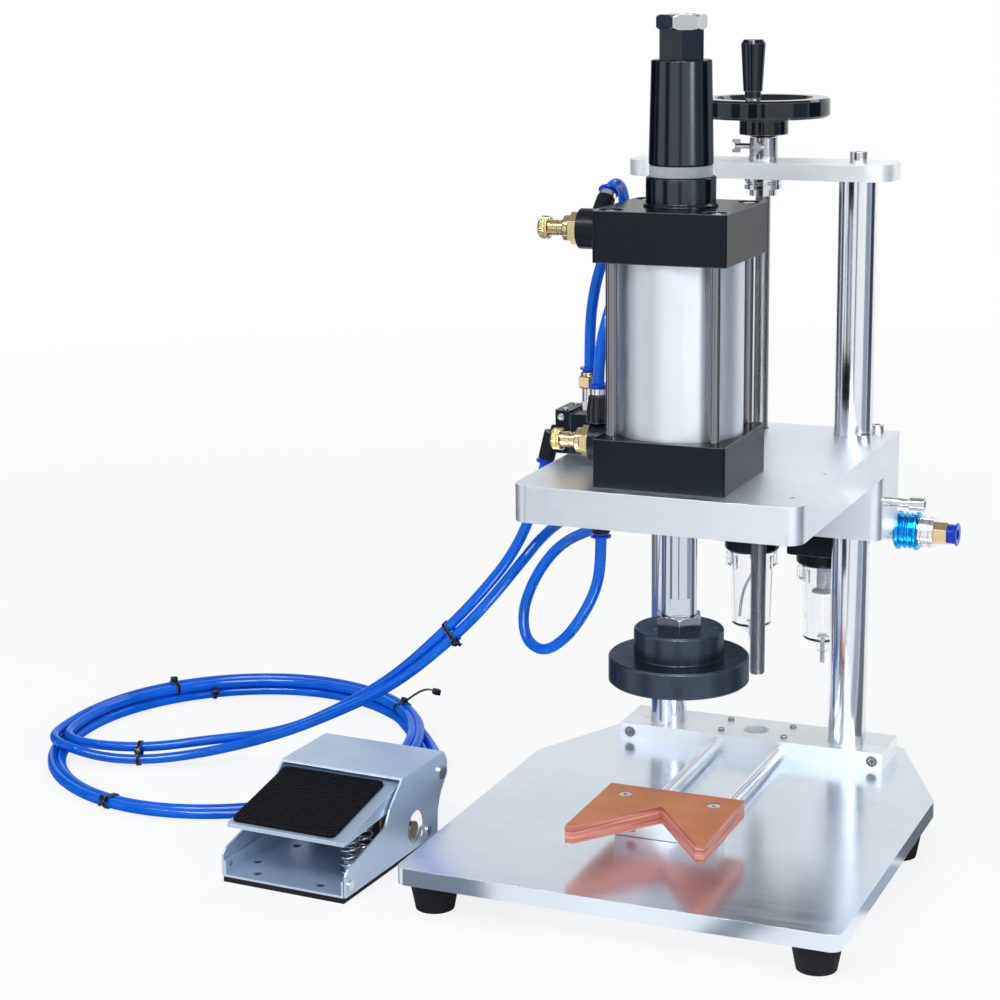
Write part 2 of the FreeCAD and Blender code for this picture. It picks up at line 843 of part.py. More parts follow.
def make_handle():
    piece("handle_spindle", fuse(
        rod("spindle_radius", "spindle_top - rim_bottom - 1", "handle_x", "handle_y", "rim_bottom + 1"),
        rod("spindle_radius + 2", "1.7", "handle_x", "handle_y", "rim_top")))
    grip_bottom = "rim_top + 1.7 + seat_gap"
    owner = turned("handle_grip", [
        ("spindle_radius + running_fit", grip_bottom),
        ("grip_bottom_radius - 1", grip_bottom),
        ("grip_bottom_radius - 1", grip_bottom + " + ferrule_height"),
        ("grip_bottom_radius", grip_bottom + " + ferrule_height"),
        ("grip_top_radius", grip_bottom + " + grip_length - 3"),
        ("grip_top_radius - 2", grip_bottom + " + grip_length"),
        ("0", grip_bottom + " + grip_length"),
        ("0", "spindle_top + seat_gap"),
        ("spindle_radius + running_fit", "spindle_top + seat_gap"),
    ], "handle_x", "handle_y")
    grip_top = grip_bottom + " + grip_length"
    notch = [("-1.6", grip_top + " + 1"), ("1.6", grip_top + " + 1"), ("0", grip_top + " - 3")]
    pocket(owner, polygon_sketch(owner, notch, "XZ_Plane"), "2 * grip_top_radius + 2")


# Carriage that rides the columns
def deck_screw_places():
    return [(side + "deck_screw_x", y) for side in ("", "-") for y in ("deck_screw_front", "deck_screw_rear")]


def tie_rod_places():
    offset = "tie_rod_offset"
    return [(side + offset, "-ram_y %s %s" % (sign, offset)) for side in ("", "-") for sign in ("+", "-")]


def make_carriage_plate():
    front = size("slide_rear - deck_length")
    blank = rounded(
        box("slide_width", "deck_length", "deck_thickness",
            "-slide_width / 2", "slide_rear - deck_length", "deck_bottom"),
        "deck_corner_radius", lambda edge: upright(edge) and edge.CenterOfMass.y < front + 1)
    through = ("deck_thickness + 2", "deck_bottom - 1")
    holes = [
        rod("screw_radius + 1", through[0], 0, "column_y", through[1]),
        rod("spigot_radius + fixed_fit", through[0], 0, "-ram_y", through[1]),
    ]
    for side in ("", "-"):
        holes.append(rod("column_radius + seat_gap", through[0], side + "column_x", "column_y", through[1]))
    for x, y in deck_screw_places():
        holes.append(rod("deck_screw_radius + fixed_fit", through[0], x, y, through[1]))
    for x, y in tie_rod_places():
        holes.append(rod("tie_rod_radius + fixed_fit", "tie_rod_thread + 1", x, y, "deck_top - tie_rod_thread"))
    for y in ("-dowel_front", "dowel_rear"):
        holes.append(rod("dowel_radius", "dowel_depth + 1", "dowel_x", y, "deck_top - dowel_depth"))
    piece("carriage_plate", cut(blank, *holes))


def make_slide_block():
    blank = rounded(
        box("slide_width", "slide_depth", "slide_height", "-slide_width / 2", "slide_front", "carriage_rest"),
        "slide_corner_radius",
        lambda edge: upright(edge) and edge.CenterOfMass.y < size("slide_front") + 1)
    holes = [
        rod("nut_body_radius + fixed_fit", "slide_height + 2", 0, "column_y", "carriage_rest - 1"),
        rod("lock_radius + running_fit", "lock_depth + 1", "slide_width / 2 + 1", "lock_y",
            "deck_bottom - lock_drop", "-X"),
    ]
    for side in ("", "-"):
        holes.append(rod("bush_radius + fixed_fit", "slide_height + 2",
                         side + "column_x", "column_y", "carriage_rest - 1"))
    for x, y in deck_screw_places():
        holes.append(rod("deck_screw_radius + fixed_fit", "deck_screw_length - deck_thickness + 1",
                         x, y, "deck_top - deck_screw_length"))
    piece("slide_block", cut(blank, *holes))


def make_slide_bushes():
    bushes = [cut(rod("bush_radius", "slide_height", side + "column_x", "column_y", "carriage_rest"),
                  rod("column_radius + running_fit", "slide_height + 2",
                      side + "column_x", "column_y", "carriage_rest - 1")) for side in ("", "-")]
    piece("slide_bushes", group(*bushes))


def make_lead_nut():
    piece("lead_nut", cut(
        fuse(rod("nut_body_radius", "slide_height", 0, "column_y", "carriage_rest"),
             rod("nut_flange_radius", "nut_flange_height", 0, "column_y", "carriage_rest - nut_flange_height")),
        rod("screw_radius + running_fit", "slide_height + nut_flange_height + 2",
            0, "column_y", "carriage_rest - nut_flange_height - 1")))


def make_carriage_screws():
    screws = [cap_screw("deck_screw_radius", "deck_screw_length", "deck_screw_head_radius",
                        "deck_screw_head_height", "hex_socket_radius * 0.8", x, y, "deck_top")
              for x, y in deck_screw_places()]
    piece("carriage_screws", group(*screws))


def make_lock_bolt():
    height = "deck_bottom - lock_drop"
    start = "slide_width / 2 - lock_depth + 1"
    piece("lock_bolt", cut(
        fuse(rod("lock_radius", "lock_depth - 1 + lock_shaft_reach", start, "lock_y", height, "+X"),
             rod("lock_head_radius", "lock_head_length",
                 "slide_width / 2 + lock_shaft_reach", "lock_y", height, "+X")),
        hexagon("lock_head_radius / 2", "lock_head_length / 2",
                "slide_width / 2 + lock_shaft_reach + lock_head_length / 2", "lock_y", height, "+X")))


# Air cylinder
def cap_blank(height, bottom):
    return rounded(
        box("cap_size", "cap_size", height, "-cap_size / 2", "-ram_y - cap_size / 2", bottom),
        "cap_corner", upright)


def make_caps():
    ram_bore = "ram_rod_radius + running_fit"
    lower_holes = [
        rod(ram_bore, "lower_cap_height + spigot_length + register_height + 2",
            0, "-ram_y", "deck_top - spigot_length - 1"),
        rod("port_radius + fixed_fit", "port_depth + 1", "-cap_left - 1", "-ram_y", "flow_lower_height", "+X"),
    ]
    upper_holes = [
        rod(ram_bore, "upper_cap_height + register_height + 2",
            0, "-ram_y", "upper_cap_bottom - register_height - 1"),
        rod("port_radius + fixed_fit", "port_depth + 1", "-cap_left - 1", "-ram_y", "flow_upper_height", "+X"),
    ]
    for x, y in tie_rod_places():
        lower_holes.append(rod("tie_rod_radius + fixed_fit", "lower_cap_height + 2", x, y, "deck_top - 1"))
        upper_holes.append(rod("tie_rod_radius + fixed_fit", "upper_cap_height + 2", x, y, "upper_cap_bottom - 1"))
        upper_holes.append(rod("tie_recess_radius", "tie_recess_depth + 1", x, y, "upper_cap_top - tie_recess_depth"))
    lower = fuse(
        cap_blank("lower_cap_height", "deck_top"),
        rod("spigot_radius", "spigot_length", 0, "-ram_y", "deck_top - spigot_length"),
        rod("bore_radius - fixed_fit", "register_height", 0, "-ram_y", "lower_cap_top"))
    upper = fuse(
        cap_blank("upper_cap_height", "upper_cap_bottom"),
        rod("bore_radius - fixed_fit", "register_height", 0, "-ram_y", "upper_cap_bottom - register_height"))
    piece("lower_cap", cut(lower, *lower_holes))
    piece("upper_cap", cut(upper, *upper_holes))


def make_barrel():
    piece("barrel", cut(
        rod("bore_radius + barrel_wall", "barrel_length", 0, "-ram_y", "lower_cap_top"),
        rod("bore_radius", "barrel_length + 2", 0, "-ram_y", "lower_cap_top - 1")))


def make_tie_rods():
    solids = []
    nut_seat = "upper_cap_top - tie_recess_depth"
    for x, y in tie_rod_places():
        solids.append(rod("tie_rod_radius", "upper_cap_top - 0.5 - deck_top + tie_rod_thread",
                          x, y, "deck_top - tie_rod_thread"))
        solids.append(cut(hexagon("tie_nut_flats / sqrt(3)", "tie_nut_height", x, y, nut_seat),
                          rod("tie_rod_radius + fixed_fit", "tie_nut_height + 2", x, y, nut_seat + " - 1")))
    piece("tie_rods", group(*solids))


def make_rod_gland():
    bore, edge = "ram_rod_radius + running_fit", "1"
    turned("rod_gland", [
        (bore, "upper_cap_top"),
        ("gland_radius + gland_flare", "upper_cap_top"),
        ("gland_radius + gland_flare", "upper_cap_top + 1"),
        ("gland_radius", "upper_cap_top + 1 + gland_flare"),
        ("gland_radius", "gland_top - " + edge),
        ("gland_radius - " + edge, "gland_top"),
        (bore, "gland_top"),
    ], 0, "-ram_y")
    piece("cushion_ring", cut(
        rod("cushion_radius", "cushion_height", 0, "-ram_y", "gland_top"),
        rod("ram_rod_radius + seat_gap", "cushion_height + 2", 0, "-ram_y", "gland_top - 1")))


# Ram: everything that moves with the piston
FLATS_TURN = 23
NUT_TURN = 50
TOP_HEX_TURN = 48
TOP_NUT_TURN = 29


def make_ram():
    axis = (0, "-ram_y")
    far = "(ram_rod_radius + 1)"
    flats = [turned_box("2 * " + far, far, "rod_flats_height", axis, "rod_shoulder",
                        ("-" + far, near), FLATS_TURN)
             for near in ("rod_flats / 2", "-rod_flats / 2 - " + far)]
    end = "1.5"
    piece("ram_rod", cut(fuse(
        rod("stud_radius", "rod_shoulder - stud_bottom", *axis, "stud_bottom"),
        rod("ram_rod_radius", "sleeve_top - rod_shoulder", *axis, "rod_shoulder"),
        rod("stud_radius", "lock_nut_top - sleeve_top - 1 - " + end, *axis, "sleeve_top"),
        cone("stud_radius", "stud_radius - " + end, end, *axis, "lock_nut_top - 1 - " + end)), *flats))
    turned("piston", [
        ("ram_rod_radius + fixed_fit", "piston_bottom"),
        ("bore_radius - running_fit", "piston_bottom"),
        ("bore_radius - running_fit", "piston_bottom + 7"),
        ("bore_radius - 3", "piston_bottom + 7"),
        ("bore_radius - 3", "piston_bottom + 12"),
        ("bore_radius - running_fit", "piston_bottom + 12"),
        ("bore_radius - running_fit", "piston_bottom + piston_height"),
        ("ram_rod_radius + fixed_fit", "piston_bottom + piston_height"),
    ], 0, "-ram_y")
    sleeve = rounded(cone("stroke_sleeve_bottom_radius", "stroke_sleeve_top_radius", "stroke_sleeve_length",
                          *axis, "sleeve_bottom"), "0.8", ends, "Part::Chamfer")
    top_hex = hexagon("stroke_hex_corner", "stroke_hex_height + 1", *axis, "sleeve_top - 1")
    top_hex.Placement = Placement(top_hex.Placement.Base, Rotation(Vector(0, 0, 1), TOP_HEX_TURN))
    piece("stroke_sleeve", cut(
        fuse(sleeve, top_hex),
        rod("ram_rod_radius + fixed_fit", "stroke_sleeve_length + 1", *axis, "sleeve_bottom - 1"),
        rod("stud_radius + fixed_fit", "stroke_hex_height + 2", *axis, "sleeve_top - 1")))
    piece("rod_nuts", group(
        nut("head_boss_top", NUT_TURN, "head_boss_top + lock_nut_height"),
        nut("hex_top", TOP_NUT_TURN, "hex_top", "lock_nut_top")))


def make_crimp_head():
    edge = "1.2"
    cavity_top = "disc_bottom + collet_height + seat_gap"
    turned("crimp_head", [
        ("collet_radius + fixed_fit", "disc_bottom"),
        ("disc_radius - " + edge, "disc_bottom"),
        ("disc_radius", "disc_bottom + " + edge),
        ("disc_radius", "disc_top - " + edge),
        ("disc_radius - " + edge, "disc_top"),
        ("boss_radius", "disc_top"),
        ("boss_radius", "head_boss_top - " + edge),
        ("boss_radius - " + edge, "head_boss_top"),
        ("stud_radius + fixed_fit", "head_boss_top"),
        ("stud_radius + fixed_fit", "stud_bottom - seat_gap"),
        ("0", "stud_bottom - seat_gap"),
        ("0", cavity_top),
        ("collet_radius + fixed_fit", cavity_top),
    ], 0, "-ram_y")


def make_crimp_collet():
    """Ring of crimping jaws, slit from below so that they close on a neck."""
    jaw_height = "collet_height * 0.7"
    tools = [cone("collet_mouth_radius", "collet_throat_radius", "collet_height + 0.002",
                  0, "-ram_y", "disc_bottom - 0.001")]
    slots = int(size("collet_jaws")) // 2
    reach = "(collet_radius + 1)"
    for i in range(slots):
        tools.append(turned_box("2 * " + reach, "collet_slot", jaw_height + " + 1", (0, "-ram_y"),
                                "disc_bottom - 1", ("-" + reach, "-collet_slot / 2"), 180 * i / slots))
    piece("crimp_collet", cut(rod("collet_radius", "collet_height", 0, "-ram_y", "disc_bottom"), *tools))


# Flow controls, valve block and fittings
def aimed(item, start, direction):
    """Turn a round part so that its axis runs from start along direction."""
    place(item, start.x, start.y, start.z)
    item.Placement = Placement(start, Rotation(Vector(0, 0, 1), direction))
    return item


def flow_control(height, body_length, branches):
    y = "-ram_y"
    body_start = "-cap_left - flow_gap"
    hex_start = "%s - %s" % (body_start, body_length)
    flange_start = hex_start + " - flow_hex_length"
    stub = rod("port_radius", "port_depth - 1 + flow_gap", "-cap_left + port_depth - 1", y, height, "-X")
    solid = fuse(
        stub,
        rod("flow_body_radius", body_length, body_start, y, height, "-X"),
        hexagon("flow_hex_corner", "flow_hex_length", hex_start, y, height, "-X"),
        rod("flow_flange_radius", "flow_flange_length", flange_start, y, height, "-X"),
        *branches)
    return cut(solid, rod("needle_radius + running_fit", "needle_length + 2",
                          flange_start + " - flow_flange_length - 1", y, height, "+X"))


def flow_knob(height, body_length):
    y = "-ram_y"
    face = "-cap_left - flow_gap - %s - flow_hex_length - flow_flange_length - seat_gap" % body_length
    return fuse(
        rod("needle_radius", "needle_length", face, y, height, "+X"),
        rod("knob_stem_radius", "knob_stem_length", face, y, height, "-X"),
        rod("knob_head_radius", "knob_head_length", face + " - knob_stem_length", y, height, "-X"))


def spot(x, y, z):
    return Vector(size(x), size(y), size(z))


UPPER_BRANCH_START = spot("-cap_left - upper_branch_out", "-ram_y", "flow_upper_height")
UPPER_BRANCH_DIRECTION = Vector(0, 8, 7).normalize()
UPPER_BRANCH_END = UPPER_BRANCH_START + UPPER_BRANCH_DIRECTION * size("upper_branch_length")
LOWER_BRANCH = ("-cap_left - lower_branch_out", "-ram_y")


def make_flow_controls():
    upper_branch = aimed(rod("elbow_radius + 1", "upper_branch_length"), UPPER_BRANCH_START, UPPER_BRANCH_DIRECTION)
    lower_branch = rod("elbow_radius", "lower_branch_rise", *LOWER_BRANCH, "flow_lower_height")
    piece("flow_controls", group(
        flow_control("flow_upper_height", "flow_upper_body", [upper_branch]),
        flow_control("flow_lower_height", "flow_lower_body", [lower_branch])))
    piece("upper_knob", flow_knob("flow_upper_height", "flow_upper_body"))
    piece("lower_knob", flow_knob("flow_lower_height", "flow_lower_body"))


def make_valve_body():
    length = "valve_left - valve_right - valve_cap_length"
    end_cap = rounded(
        box("valve_cap_length", "valve_depth", "valve_height", "-valve_left", "valve_front", "deck_top"),
        "cap_corner / 2", upright)
    block = box(length, "valve_depth", "valve_height - 2",
                "-valve_left + valve_cap_length", "valve_front", "deck_top")
    piece("valve_body", group(end_cap, block))


# Where the hoses leave their fittings, and which way they point there
FRONT_PORT = spot("-valve_left + front_port_in", "valve_front + front_port_depth", "valve_top + front_port_rise")
REAR_PORT = spot("-valve_left + rear_port_in", "valve_front + rear_port_depth", "valve_top + rear_port_rise")
PILOT_START = spot("-valve_left - pilot_out", "valve_front + valve_depth / 2", "deck_top + pilot_rise")
PILOT_END = PILOT_START - spot("pilot_lean", "0", "pilot_drop")
LOOP_START = spot("-loop_front_x", "-loop_front_y", "deck_bottom - loop_front_drop")
LOOP_END = spot("-loop_rear_x", "loop_rear_y", "deck_bottom - loop_rear_drop")
LOOP_END_DIRECTION = Vector(8, 1, 15)
LOOP_END_LENGTH = 24
SUPPLY_PORT = spot("-supply_port_x", "unit_y", "unit_port_height")
PEDAL_PORT_HEIGHT = 22
PEDAL_PORT_LENGTH = 6
PEDAL_PORT_SPACING = 5


def make_hose_fittings():
    ring, ring_height, nut = "collet_ring_radius", "collet_ring_height", "elbow_radius + 1.4"
    elbows = []
    for port in (FRONT_PORT, REAR_PORT):
        seat = "valve_top - 2"
        elbows.append(fuse(
            hexagon(nut, "8", port.x, port.y, seat),
            rod("elbow_radius", "%g - (%s)" % (port.z, seat), port.x, port.y, seat),
            rod(ring, "1.6", port.x, port.y, port.z - 1.6)))
    collets = [
        aimed(rod(ring, ring_height), UPPER_BRANCH_END, UPPER_BRANCH_DIRECTION),
        rod(ring, ring_height, *LOWER_BRANCH, "flow_lower_height + lower_branch_rise"),
    ]
    pilot = fuse(
        rod("elbow_radius", "pilot_out", "-valve_left", PILOT_START.y, PILOT_START.z, "-X"),
        aimed(rod("elbow_radius + 0.6", (PILOT_END - PILOT_START).Length),
              PILOT_START, PILOT_END - PILOT_START))
    collar_drop = 5
    loop_front = fuse(
        rod(ring, "loop_front_drop", LOOP_START.x, LOOP_START.y, LOOP_START.z),
        rod(nut, "loop_front_drop - %g" % collar_drop, LOOP_START.x, LOOP_START.y, LOOP_START.z + collar_drop))
    room = 60
    loop_rear = cut(
        aimed(rod(ring, LOOP_END_LENGTH), LOOP_END, LOOP_END_DIRECTION),
        box(room, room, room, LOOP_END.x - room / 2, LOOP_END.y - room / 2, "deck_bottom"))
    supply = rod("elbow_radius", "lubricator_x - unit_width / 2 + supply_port_x",
                 SUPPLY_PORT.x, SUPPLY_PORT.y, SUPPLY_PORT.z, "+X")
    piece("hose_fittings", group(*elbows, *collets, pilot, loop_front, loop_rear, supply))


# Hoses: straight runs joined by tangent arcs, as large as the runs allow
ARC_SHARE = 0.45


def hose_shape(name, points, radius):
    edges = []
    start = points[0]
    radii = []
    for before, corner, after in zip(points, points[1:], points[2:]):
        back, ahead = before - corner, after - corner
        turn = math.pi - back.getAngle(ahead)
        reach = ARC_SHARE * min(back.Length, ahead.Length)
        radii.append(reach / math.tan(turn / 2))
        back.normalize()
        ahead.normalize()
        enter, leave = corner + back * reach, corner + ahead * reach
        bisector = back + ahead
        bisector.normalize()
        to_centre = radii[-1] / math.cos(turn / 2)
        middle = corner + bisector * (to_centre - radii[-1])
        edges.append(Part.LineSegment(start, enter).toShape())
        edges.append(Part.Arc(enter, middle, leave).toShape())
        start = leave
    edges.append(Part.LineSegment(start, points[-1]).toShape())
    route = Part.Wire(edges)
    section = Part.Wire([Part.Circle(points[0], points[1] - points[0], radius).toShape()])
    shape = route.makePipeShell([section], True, False)
    expected = math.pi * radius ** 2 * route.Length
    print("%s: length %.0f, radii %.0f to %.0f, volume ratio %.4f"
          % (name, route.Length, min(radii), max(radii), shape.Volume / expected))
    return shape


def shaped(shape):
    item = doc.addObject("Part::Feature", "Shape")
    item.Shape = shape
    return item


def hose(label, *routes):
    radius = size("hose_radius")
    solids = [hose_shape(label, [Vector(*point) for point in route], radius) for route in routes]
    return piece(label, shaped(solids[0] if len(solids) == 1 else Part.makeCompound(solids)))


def around(radius, angle, height, ahead=0):
    """A point on the coil, by radius and angle, or that far ahead of it along the hose's direction there."""
    turn = math.radians(angle)
    return (size("coil_x") + radius * math.cos(turn) + ahead * math.sin(turn),
            size("coil_y") + radius * math.sin(turn) - ahead * math.cos(turn), height)


def from_point(start, *steps):
    return [start + Vector(*step) for step in steps]


def make_hoses():
    upper_end = UPPER_BRANCH_END + UPPER_BRANCH_DIRECTION * size("collet_ring_height")
    lower_end = spot(*LOWER_BRANCH, "flow_lower_height + lower_branch_rise + collet_ring_height")
    hose("cylinder_hoses",
         from_point(FRONT_PORT, (0, 0, 0), (0, 0, 33), (4, 0, 62), (11, 3, 88), (20, 7, 107))
         + from_point(upper_end, (-1.5, 40, -8), (0, 24, 6))
         + [upper_end + UPPER_BRANCH_DIRECTION * 9, upper_end],
         from_point(lower_end, (0, 0, 0), (0, 0, 24), (4, 10, 53), (3, 31, 69), (-5, 52, 65))
         + from_point(REAR_PORT, (0, -2, 52), (0, 0, 26), (0, 0, 0)))
    hose("loop_hose",
         from_point(LOOP_START, (0, 0, 0), (0, 0, -21.4), (-4.7, 3, -42.4), (-17.7, 9, -65.4), (-34.7, 19, -86.4),
                    (-56.7, 32, -102.4), (-75.7, 43, -98.4), (-81.7, 52, -80.4), (-77.7, 59, -61.4))
         + from_point(LOOP_END, (-53, -12, -44), (-40, -7, -29), (-22, -3, -20), (-8, -1, -15), (0, 0, 0)))
    inner = size("coil_radius - hose_pitch / 2")
    outer = size("coil_radius + hose_pitch / 2")
    upper, lower = size("1.5 * coil_layer"), size("hose_radius + 0.8")
    entry, leave = size("coil_entry"), size("coil_exit")
    hose("lead_hose_a",
         from_point(PILOT_END, (0, 0, 0), (-9, 0, -36), (-24.4, -5.5, -73.3), (-51.3, -6.5, -107.1))
         + [(-208, 20, 143), (-256.5, 25, 97.5), (-315.5, 40, 59), (-370, 46, 31), (-431, 38, 20),
            (-477, 19, upper), (-520, 8, upper), (-556, 10, upper), around(inner, entry, upper, -30),
            around(inner, entry, upper)])
    hose("lead_hose_b",
         from_point(SUPPLY_PORT, (0, 0, 0), (-30, 0, 0), (-56, -27, 6.5), (-63, -77, 16.5), (-67, -125, 19.5))
         + [(-134, 34, 220), (-145, 17, 202), (-170.7, 13, 169), (-202, 19.7, 137), (-253.5, 17, 92.5),
            (-316.5, 31.5, 57), (-370, 37.5, 31), (-429, 30, 12), (-474.5, 11, 5.5), (-512, -1, 7),
            (-546, -7, upper), (-573, 7, upper), around(outer, entry, upper, -27), around(outer, entry, upper)])
    pedal = pedal_frame()
    pedal_rear = size("pedal_valve_front + pedal_valve_depth") + PEDAL_PORT_LENGTH
    for label, radius, turn in (("tail_hose_a", inner, 1), ("tail_hose_b", outer, -1)):
        shift = PEDAL_PORT_SPACING * turn
        hose(label, [
            around(radius, leave, lower),
            around(radius, leave, lower, 36),
            (-262 - 3.8 * turn, 104 - 2.2 * turn, lower),
            (-243 - 4.4 * turn, 55, 12),
            pedal.multVec(Vector(-shift, pedal_rear + 50, PEDAL_PORT_HEIGHT)),
            pedal.multVec(Vector(-shift, pedal_rear, PEDAL_PORT_HEIGHT))])


def make_hose_coil():
    """The outer shape of the turns: the lower layer, and an upper one that ends short of the front."""
    layers = []
    for first, sweep, bottom in (("coil_exit", "360 - coil_exit", "0"),
                                 ("-coil_lap", "coil_entry + coil_lap", "coil_layer")):
        rings = []
        for radius in ("coil_radius + coil_width / 2", "coil_radius - coil_width / 2"):
            ring = rod(radius, "coil_layer", "coil_x", "coil_y", bottom)
            bind(ring, Angle=sweep)
            ring.Placement = Placement(ring.Placement.Base, Rotation(Vector(0, 0, 1), size(first)))
            rings.append(ring)
        bind(rings[1], Angle="360")
        layers.append(cut(*rings))
    piece("hose_coil", fuse(*layers))


# Air preparation unit and the hand slide valve on its inlet
UNITS = (
    ("lubricator_x", "lubricator_bottom", "lubricator_drain"),
    ("regulator_x", "regulator_bottom", "regulator_drain"),
)


def make_air_unit():
    housings = []
    for x, bottom, _ in UNITS:
        left = "%s - unit_width / 2" % x
        housings.append(fuse(
            rounded(box("unit_width", "unit_depth", "unit_top - unit_collar_height - " + bottom, left,
                        "unit_y - unit_depth / 2", bottom + " + unit_collar_height"), "cap_corner * 2", upright),
            rounded(rod("unit_collar_radius", "unit_collar_height + 1", x, "unit_y", bottom), "3",
                    lambda edge: ends(edge) and edge.BoundBox.ZMin < size(bottom) + 0.01),
            box("mount_pad_width", "unit_y - slide_rear", "mount_pad_height",
                "%s - mount_pad_width / 2" % x, "slide_rear", "carriage_rest")))
    housings[0] = fuse(housings[0], rod(
        "unit_nipple_radius", "regulator_x - lubricator_x - unit_width",
        "lubricator_x + unit_width / 2", "unit_y", "unit_port_height", "+X"))
    housings[1] = cut(housings[1], rod("unit_nipple_radius + running_fit", "11",
                                       "regulator_x", "unit_y", "unit_top - 10"))
    piece("air_unit_body", group(*housings))


def make_bowls():
    bowls = []
    wall, floor = "2", "4"
    for x, bottom, drain in UNITS:
        foot = "%s - bowl_length" % bottom
        tip = drain + " * 0.55"
        side = rounded(cone("bowl_radius - bowl_taper", "bowl_radius", "bowl_length", x, "unit_y", foot),
                       "bowl_rounding", lambda edge: ends(edge) and edge.BoundBox.ZMin < size(foot) + 0.01)
        outer = fuse(
            side,
            rod("bowl_flange_radius", "bowl_flange_height", x, "unit_y", bottom + " - bowl_flange_height"),
            rod("drain_radius", "%s - %s + 1" % (drain, tip), x, "unit_y", "%s - %s + %s" % (foot, drain, tip)),
            rod("drain_tip_radius", tip + " + 1", x, "unit_y", "%s - %s" % (foot, drain)))
        bowls.append(cut(outer, cone("bowl_radius - bowl_taper - " + wall, "bowl_radius - " + wall,
                                     "bowl_length - " + floor, x, "unit_y", "%s + %s.001" % (foot, floor))))
    piece("air_unit_bowls", group(*bowls))


def make_regulator_knob():
    piece("regulator_knob", fuse(
        rod("regulator_knob_radius", "regulator_knob_height", "regulator_x", "unit_y", "unit_top + seat_gap"),
        rod("unit_nipple_radius", "9", "regulator_x", "unit_y", "unit_top + seat_gap - 8")))


def make_slide_valve():
    start = "regulator_x + unit_width / 2"
    core_bore = "unit_y", "unit_port_height", "+X"
    core = fuse(
        rod("inlet_core_radius", "inlet_core_end - (%s)" % start, start, *core_bore),
        rod("inlet_collar_radius", "inlet_collar_length", "inlet_core_end - inlet_collar_length", *core_bore))
    nut = hexagon("inlet_hex_corner", "inlet_hex_length", "inlet_core_end", *core_bore)
    collet = rod("inlet_collet_radius", "inlet_collet_length", "inlet_core_end + inlet_hex_length", *core_bore)
    mouth = rod("hose_radius", "8", "inlet_core_end + inlet_hex_length + inlet_collet_length - 7", *core_bore)
    piece("slide_valve", group(core, nut, cut(collet, mouth)))
    sleeve_end = "inlet_core_end - inlet_collar_length - seat_gap"
    piece("slide_sleeve", cut(
        rod("sleeve_radius", "sleeve_length", sleeve_end + " - sleeve_length", *core_bore),
        rod("inlet_core_radius + running_fit", "sleeve_length + 2",
            sleeve_end + " - sleeve_length - 1", *core_bore)))


# Bottle locator that slides on two rods
def make_locator():
    rods = [rod("rod_radius", "rod_length", side + "rod_spacing / 2", "-rod_front", "rod_height", "+Y")
            for side in ("", "-")]
    piece("locator_rods", group(*rods))
    bar_bottom = "plate_top + seat_gap"
    holes = [rod("rod_radius + fixed_fit", "bar_depth + 2", side + "rod_spacing / 2",
                 "-bar_front - 1", "rod_height", "+Y") for side in ("", "-")]
    screw_y = "-bar_front + bar_depth / 2"
    vee_top = "vee_bottom + vee_thickness"
    holes += [rod("vee_screw_radius + fixed_fit", "vee_screw_length", side + "vee_screw_x", screw_y,
                  vee_top + " - vee_screw_length - 0.5") for side in ("", "-")]
    piece("locator_bar", cut(
        box("bar_width", "bar_depth", "vee_bottom - (%s)" % bar_bottom, "-bar_width / 2", "-bar_front", bar_bottom),
        *holes))
    owner = body("v_plate")
    outline = [
        ("-vee_width / 2", "-vee_rear"),
        ("-vee_width / 2", "-vee_front"),
        ("-vee_half_mouth", "-vee_front"),
        ("0", "-vee_apex"),
        ("vee_half_mouth", "-vee_front"),
        ("vee_width / 2", "-vee_front"),
        ("vee_width / 2", "-vee_rear"),
    ]
    pad(owner, polygon_sketch(owner, outline, "XY_Plane"), "vee_thickness")
    for side in ("", "-"):
        centre = (side + "vee_screw_x", screw_y)
        pocket(owner, circle_sketch(owner, centre, "vee_screw_radius + fixed_fit", "XY_Plane"), "3 * vee_thickness")
        head = circle_sketch(owner, centre, "vee_screw_head_radius + seat_gap", "XY_Plane")
        bind(head, **{"AttachmentOffset.Base.z": "vee_thickness"})
        pocket(owner, head, "2 * vee_screw_head_height")
    place(owner, 0, 0, "vee_bottom")
    screws = [cap_screw("vee_screw_radius", "vee_screw_length - vee_screw_head_height", "vee_screw_head_radius",
                        "vee_screw_head_height - 0.5", "vee_screw_radius * 0.7", side + "vee_screw_x", screw_y,
                        vee_top + " - vee_screw_head_height") for side in ("", "-")]
    piece("v_plate_screws", group(*screws))


# Foot pedal, built square about its own centre and then turned
def pedal_frame():
    return Placement(Vector(size("pedal_x"), size("pedal_y"), 0),
                     Rotation(Vector(0, 0, 1), size("pedal_turn")))


def on_pedal(item):
    item.Placement = pedal_frame().multiply(item.Placement)
    return item


def side_profile_body(label, width, outline, hollow_width, hollow):
    owner = body(label)
    pad(owner, polygon_sketch(owner, outline, "YZ_Plane"), width, symmetric=True)
    pocket(owner, polygon_sketch(owner, hollow, "YZ_Plane"), hollow_width)
    return owner


def side_hole(owner, y, z, radius):
    pocket(owner, circle_sketch(owner, (y, z), radius, "YZ_Plane"), "2 * cover_width")


SPRING_PLACES = ("-spring_y", "spring_pitch - spring_y")
RIVET_RADIUS = 2.5
RIVETS = (("-66", "tray_top + 6"), ("50", "tray_top + 6"))


